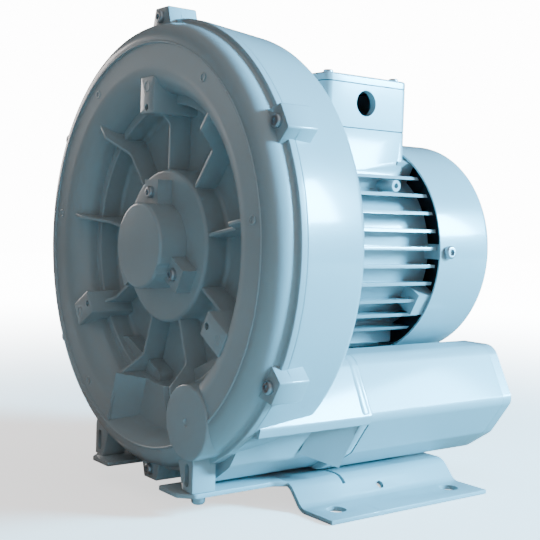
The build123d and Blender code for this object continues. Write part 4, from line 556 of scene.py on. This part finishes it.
def foot_form():
    """Foot of bent sheet: web, sloping risers, feet, and two tongues under the cover's lugs."""
    form = Form()
    floor = -SHAFT_Z
    foot_top = floor + FOOT_SHEET
    web_top = -170
    web_base = web_top - FOOT_SHEET
    bends = [(82, web_top), (96, foot_top), (130, foot_top), (130, floor), (94, floor), (80, web_base)]
    radii = [12, 8.5, 0, 0, 12, 8.5]
    across = bends + [(-x, z) for x, z in reversed(bends)]
    for start, end, hole_at in ((60, 106.5, 81), (109.5, 220, 198)):
        form.prism(facing(start), across, (0, end - start, 0), radii + radii[::-1], 0.6,
                   lambda m: abs(m.y - 108) > 2)
        for hand in (1, -1):
            form.drill(level(foot_top), hand * 110, hole_at, 7.5, (0, 0, -FOOT_SHEET), 36, through=True)
    # Holes in the sloping risers, measured down the slope and square to it
    for hand in (1, -1):
        form.drill(lambda down, along: Vector((hand * (82 + 0.67 * down), along, web_top - 0.742 * down)),
                   13.2, 141.6, 3.2, (hand * -2.842, 0, -2.566), through=True)
    # Strips beside the two slits
    form.prism(facing(106.5), [(-62, web_top), (62, web_top), (62, web_base), (-62, web_base)], (0, 3, 0))
    form.prism(facing(106.5), [(87, -175.54), (96, foot_top), (130, foot_top), (130, floor), (94, floor),
                               (87, -181.25)], (0, 3, 0), [0, 8.5, 0, 0, 12, 0])
    form.mirrored()
    tongue = [(38, 42), (38, -26), (63, -26), (73, -16), (73, 50), (80, 62)]
    form.prism(level(-170.03), [(0, 52), *tongue, *[(-x, along) for x, along in reversed(tongue)]],
               (0, 0, -3.44), [0, 8, 2, 2, 4, 8, 0, 0, 8, 4, 2, 2, 8], 0.6)
    return form


def fan_form():
    """Radial fan: a hub, a back plate and straight blades."""
    form = Form()
    form.ring([(214, 10.6), (214, 84), (216, 84), (216, 15), (234, 15), (234, 10.6)],
              [0, 0.8, 0.8, 0, 1, 0], 96)
    form.prism(facing(214), [(13, -1.2), (76, -1.2), (76, 1.2), (13, 1.2)], (0, 20, 0), None, 0.5)
    form.repeat([45 * k for k in range(8)])
    return form


def dressed_copy(node, material, width):
    """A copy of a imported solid's mesh with its doubles merged and its edges rounded by a width in metres."""
    bm = bmesh.new()
    bm.from_mesh(NODES[node].data)
    bmesh.ops.remove_doubles(bm, verts=bm.verts[:], dist=1e-6)
    bmesh.ops.dissolve_limit(bm, angle_limit=FLAT_ANGLE, verts=bm.verts[:], edges=bm.edges[:],
                             use_dissolve_boundaries=False, delimit=set())
    piece = dress(node + "_look", bm, SMOOTH_COPY, "stator", material, node)
    rounding = piece.modifiers.new("soft edges", "BEVEL")
    rounding.width = width
    rounding.segments = 2
    rounding.limit_method = "ANGLE"
    rounding.angle_limit = BEVEL_ANGLE
    rounding.harden_normals = True
    rounding.use_clamp_overlap = True


class BlowerSizes(bpy.types.PropertyGroup):
    """Sizes and colours of the blower's looks that a user may change."""

    paint_colour: bpy.props.FloatVectorProperty(
        name="Paint", description="Stoving paint on castings and sheet", subtype="COLOR", size=3,
        min=0.0, max=1.0, default=(0.395, 0.445, 0.46))
    zinc_colour: bpy.props.FloatVectorProperty(
        name="Zinc", description="Plating of the screws", subtype="COLOR", size=3,
        min=0.0, max=1.0, default=(0.50, 0.54, 0.57))
    paint_roughness: bpy.props.FloatProperty(
        name="Paint roughness", description="How matt the paint is", min=0.0, max=1.0, default=0.29)
    cast_grain: bpy.props.FloatProperty(
        name="Cast grain", description="Strength of the sand-cast skin", min=0.0, max=1.0, default=0.16)
    cast_edge: bpy.props.FloatProperty(
        name="Cast edge", description="Rounding of the edges of cap, terminal box and port flanges",
        subtype="DISTANCE", unit="LENGTH", default=0.0008)
    fine_edge: bpy.props.FloatProperty(
        name="Fine edge", description="Rounding of the edges of fins, end shield and cowl",
        subtype="DISTANCE", unit="LENGTH", default=0.0005)
    tube_edge: bpy.props.FloatProperty(
        name="Tube edge", description="Rounding of the edges of the silencers",
        subtype="DISTANCE", unit="LENGTH", default=0.001)


class StageSizes(bpy.types.PropertyGroup):
    """Camera, floor and lights."""

    eye: bpy.props.FloatVectorProperty(
        name="Eye", description="Place of the camera", subtype="TRANSLATION", unit="LENGTH", size=3,
        default=(0.6538, -0.5355, 0.213))
    yaw: bpy.props.FloatProperty(
        name="Yaw", description="Turn of the view from straight back", subtype="ANGLE",
        default=math.radians(52.98))
    pitch: bpy.props.FloatProperty(
        name="Pitch", description="Fall of the view", subtype="ANGLE", default=math.radians(3.0))
    roll: bpy.props.FloatProperty(
        name="Roll", description="Lean of the picture", subtype="ANGLE", default=math.radians(1.81))
    focus_pixels: bpy.props.FloatProperty(
        name="Focal length", description="Focal length in pixels of the square picture", subtype="PIXEL",
        default=1011.2)
    floor_colour: bpy.props.FloatVectorProperty(
        name="Floor", description="Pale floor in the picture", subtype="COLOR", size=3, min=0.0, max=1.0,
        default=(1.0, 0.88, 0.82))
    bounce_colour: bpy.props.FloatVectorProperty(
        name="Bounce", description="Floor as it lights the blower from below", subtype="COLOR", size=3,
        min=0.0, max=1.0, default=(0.38, 0.31, 0.27))
    shade_strength: bpy.props.FloatProperty(
        name="Shade", description="Light of the backdrop on the shaded side", min=0.0, default=0.07)
    light_strength: bpy.props.FloatProperty(
        name="Light", description="Light of the backdrop on the bright side", min=0.0, default=0.65)
    backdrop_and_floor_glow_strength: bpy.props.FloatProperty(
        name="Backdrop", description="White of the backdrop and of the far floor", min=0.0, default=14.0)
    floor_size: bpy.props.FloatProperty(
        name="Floor size", description="Side of the floor", subtype="DISTANCE", unit="LENGTH", default=8.0)


class BLOWER_OT_finishes(bpy.types.Operator):
    """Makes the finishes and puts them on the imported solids"""

    bl_idname = "blower.finishes"
    bl_label = "Finishes"

    def execute(self, context):
        sizes = context.scene.blower_sizes
        paint = tuple(sizes.paint_colour)
        zinc = tuple(sizes.zinc_colour)
        paint_finish("cast paint", paint, sizes.paint_roughness, sizes.cast_grain)
        paint_finish("sheet paint", paint, sizes.paint_roughness - 0.02, 0.05)
        paint_finish("tube paint", paint, sizes.paint_roughness + 0.13, 0.10, coat=0.2)
        metal_finish("cast metal", (0.46, 0.47, 0.48), 0.42)
        metal_finish("zinc plating", zinc, 0.30)
        metal_finish("ground steel", (0.40, 0.41, 0.42), 0.24)
        metal_finish("laminations", (0.20, 0.21, 0.22), 0.5)
        metal_finish("brass", (0.60, 0.42, 0.16), 0.28)
        matt_finish("black rubber", (0.02, 0.02, 0.02), 0.6, 300.0, 0.1)
        matt_finish("dark gasket", (0.035, 0.035, 0.04), 0.75, 400.0, 0.2)
        matt_finish("open foam", (0.05, 0.05, 0.055), 0.95, 220.0, 0.9)
        matt_finish("fan plastic", (0.022, 0.022, 0.025), 0.5, 500.0, 0.1)
        matt_finish("board plastic", (0.12, 0.05, 0.025), 0.45, 300.0, 0.1)
        copper_finish("copper wire", (0.55, 0.20, 0.08))
        by_slot = {
            "paint": "cast paint", "foot_paint": "sheet paint", "cast": "cast metal",
            "zinc": "zinc plating", "steel": "ground steel", "copper": "copper wire",
            "laminate": "laminations", "seal": "black rubber", "gasket": "dark gasket",
            "foam": "open foam", "fan": "fan plastic", "board": "board plastic", "studs": "brass"}
        slots = {part["node"]: part["material_slot"] for part in frame["record"]["subparts"]}
        for name, node in NODES.items():
            for holder in node.material_slots:
                holder.material = bpy.data.materials[by_slot[slots[name]]]
        return {"FINISHED"}


class BLOWER_OT_cover(bpy.types.Operator):
    """Adds the front cover anew and the bearing cap with softened edges"""

    bl_idname = "blower.cover"
    bl_label = "Cover and bearing cap"

    def execute(self, context):
        cover_form().finish("front_cover", "stator", "cast paint", "paint", "cover")
        dressed_copy("bearing_cap", "cast paint", context.scene.blower_sizes.cast_edge)
        return {"FINISHED"}


class BLOWER_OT_casing(bpy.types.Operator):
    """Adds the casing behind the cover and its two ducts anew"""

    bl_idname = "blower.casing"
    bl_label = "Casing and ducts"

    def execute(self, context):
        casing_form().finish("ring_casing", "stator", "cast paint", "paint", "casing")
        for hand, where in ((1, "right"), (-1, "left")):
            duct_form(hand).finish("air_duct_" + where, "stator", "cast paint", "paint", "duct_" + where)
        return {"FINISHED"}


class BLOWER_OT_motor(bpy.types.Operator):
    """Adds the motor housing, the end shield and the terminal box with softened edges"""

    bl_idname = "blower.motor"
    bl_label = "Motor and terminal box"

    def execute(self, context):
        sizes = context.scene.blower_sizes
        for node in ("motor_housing", "rear_end_shield"):
            dressed_copy(node, "cast paint", sizes.fine_edge)
        for node in ("terminal_box", "terminal_lid"):
            dressed_copy(node, "cast paint", sizes.cast_edge)
        return {"FINISHED"}


class BLOWER_OT_silencers(bpy.types.Operator):
    """Adds the port flanges and the silencers with softened edges"""

    bl_idname = "blower.silencers"
    bl_label = "Silencers and port flanges"

    def execute(self, context):
        sizes = context.scene.blower_sizes
        for node in ("port_flange_right", "port_flange_left"):
            dressed_copy(node, "cast paint", sizes.cast_edge)
        for node in ("silencer_right", "silencer_left"):
            dressed_copy(node, "tube paint", sizes.tube_edge)
        return {"FINISHED"}


class BLOWER_OT_fan(bpy.types.Operator):
    """Adds the cowl with softened edges and the fan in it anew"""

    bl_idname = "blower.fan"
    bl_label = "Cowl and fan"

    def execute(self, context):
        dressed_copy("fan_cowl", "sheet paint", context.scene.blower_sizes.fine_edge)
        fan_form().finish("radial_fan", "rotor", "fan plastic", "fan", "cooling_fan")
        return {"FINISHED"}


class BLOWER_OT_foot(bpy.types.Operator):
    """Adds the foot of bent sheet anew"""

    bl_idname = "blower.foot"
    bl_label = "Foot"

    def execute(self, context):
        foot_form().finish("foot_sheet", "stator", "sheet paint", "foot_paint", "foot_bracket")
        return {"FINISHED"}


# Camera, floor and lights, in metres

PICTURE_SIDE = 540
BLOWER_MIDDLE = (0.0, 0.0, 0.18)
LIGHT_FROM = (0.80, 0.35, 0.48)
FLOOR_GLOW_FADE = (0.3, 1.8)  # the floor's painted glow, seen only by the camera, rises from faint to the backdrop's white between these distances
WHITE = (1.0, 1.0, 1.0, 1.0)
BLACK = (0.0, 0.0, 0.0, 1.0)


def add_light(name, place, size, power, colour):
    """A square soft light that looks at the middle of the blower."""
    lamp = bpy.data.lights.new(name, "AREA")
    lamp.shape = "SQUARE"
    lamp.size = size
    lamp.energy = power
    lamp.color = colour
    holder = bpy.data.objects.new(name, lamp)
    holder.location = place
    holder.rotation_euler = (Vector(BLOWER_MIDDLE) - Vector(place)).to_track_quat("-Z", "Y").to_euler()
    bpy.context.scene.collection.objects.link(holder)


def studio_world(low, high, white):
    """A white backdrop whose light comes mostly from the right and from above."""
    world = bpy.data.worlds.new("studio")
    tree = Tree(world)
    place = tree.node("ShaderNodeTexCoord", {}, {}, "Generated")
    slope = tree.node("ShaderNodeVectorMath", {"operation": "DOT_PRODUCT"},
                      {0: place, 1: LIGHT_FROM}, "Value")
    strength = tree.node("ShaderNodeMapRange", {}, {"Value": slope, "From Min": -0.5, "From Max": 1.0,
                                                    "To Min": low, "To Max": high})
    sky = tree.nodes["Background"]
    tree.put(sky, "Color", (0.96, 0.97, 1.0, 1.0))
    tree.put(sky, "Strength", strength)
    backdrop = tree.node("ShaderNodeBackground", {}, {"Color": WHITE, "Strength": white})
    seen = tree.node("ShaderNodeLightPath", {}, {}, "Is Camera Ray")
    chosen = tree.node("ShaderNodeMixShader", {}, {"Fac": seen, 1: Sock(tree, sky.outputs[0]), 2: backdrop})
    tree.put(tree.nodes["World Output"], "Surface", chosen)
    return world


class BLOWER_OT_stage(bpy.types.Operator):
    """Makes the camera at the photograph's angle, the pale floor with its painted glow, and the soft lights"""

    bl_idname = "blower.stage"
    bl_label = "Camera, floor and lights"

    def execute(self, context):
        stage = context.scene.blower_stage
        along = Vector((-math.sin(stage.yaw) * math.cos(stage.pitch),
                        math.cos(stage.yaw) * math.cos(stage.pitch), -math.sin(stage.pitch)))
        right = along.cross(Vector((0, 0, 1))).normalized()
        up = right.cross(along)
        leaned = right * math.cos(stage.roll) + up * math.sin(stage.roll)
        upright = up * math.cos(stage.roll) - right * math.sin(stage.roll)
        lens = bpy.data.cameras.new("camera")
        lens.sensor_width = 36.0
        lens.sensor_fit = "HORIZONTAL"
        lens.lens = stage.focus_pixels * lens.sensor_width / PICTURE_SIDE
        lens.clip_end = 50.0
        camera = bpy.data.objects.new("camera", lens)
        turn = Matrix((leaned, upright, -along)).transposed().to_4x4()
        camera.matrix_world = Matrix.Translation(Vector(stage.eye)) @ turn
        context.scene.collection.objects.link(camera)
        context.scene.camera = camera
        floor_bm = bmesh.new()
        bmesh.ops.create_grid(floor_bm, x_segments=1, y_segments=1, size=stage.floor_size / 2)
        floor_mesh = bpy.data.meshes.new("floor")
        floor_bm.to_mesh(floor_mesh)
        floor_bm.free()
        floor = bpy.data.objects.new("floor", floor_mesh)
        context.scene.collection.objects.link(floor)
        matt = Finish("floor paper", specular=0.1)
        seen = matt.node("ShaderNodeLightPath", {}, {}, "Is Camera Ray")
        paper = matt.mix(seen, (*stage.bounce_colour, 1.0), (*stage.floor_colour, 1.0))
        # Painted glow: the floor is no lamp but glows for camera rays only. Near the blower the glow is faint
        # and lightens the floor and its shadow; farther out it is the full white of the backdrop.
        away = matt.node("ShaderNodeVectorMath", {"operation": "LENGTH"}, {0: matt.place}, "Value")
        painted_glow_share = matt.node("ShaderNodeMapRange", {"interpolation_type": "SMOOTHSTEP"},
                         {"Value": away, "From Min": FLOOR_GLOW_FADE[0], "From Max": FLOOR_GLOW_FADE[1],
                          "To Min": 0.09, "To Max": 1.0})
        painted_glow = matt.mix(painted_glow_share * seen, BLACK, WHITE)
        floor_mesh.materials.append(matt.feed(Base_Color=paper, Roughness=0.9, Emission_Color=painted_glow,
                                              Emission_Strength=stage.backdrop_and_floor_glow_strength))
        # The window behind the blower's right, whose mirror image stands on the rounds, and two fills
        add_light("key light", (1.525, 1.54, 0.905), 0.62, 395.0, (0.14, 0.62, 1.0))
        add_light("top light", (0.3, 0.7, 2.2), 1.6, 3.0, (0.45, 0.78, 1.0))
        add_light("left light", (-2.2, -0.62, 0.7), 0.8, 9.5, (1.0, 0.92, 0.88))
        context.scene.world = studio_world(stage.shade_strength, stage.light_strength,
                                           stage.backdrop_and_floor_glow_strength)
        return {"FINISHED"}


OPERATORS = [BLOWER_OT_finishes, BLOWER_OT_cover, BLOWER_OT_casing, BLOWER_OT_motor, BLOWER_OT_silencers,
             BLOWER_OT_fan, BLOWER_OT_foot, BLOWER_OT_stage]


class BLOWER_PT_panel(bpy.types.Panel):
    """Sidebar panel that lists the sizes and the steps"""

    bl_idname = "BLOWER_PT_panel"
    bl_label = "Side channel blower"
    bl_space_type = "VIEW_3D"
    bl_region_type = "UI"
    bl_category = "Blower"

    def draw(self, context):
        for group in (context.scene.blower_sizes, context.scene.blower_stage):
            box = self.layout.box()
            for name in group.__annotations__:
                box.prop(group, name)
        for operator in OPERATORS:
            self.layout.operator(operator.bl_idname)


CLASSES = [BlowerSizes, StageSizes, *OPERATORS, BLOWER_PT_panel]


def register():
    for item in CLASSES:
        bpy.utils.register_class(item)
    bpy.types.Scene.blower_sizes = bpy.props.PointerProperty(type=BlowerSizes)
    bpy.types.Scene.blower_stage = bpy.props.PointerProperty(type=StageSizes)


def unregister():
    del bpy.types.Scene.blower_stage
    del bpy.types.Scene.blower_sizes
    for item in reversed(CLASSES):
        bpy.utils.unregister_class(item)


def main():
    register()
    for operator in OPERATORS:
        group, step = operator.bl_idname.split(".")
        getattr(getattr(bpy.ops, group), step)()


if __name__ == "__main__":
    main()
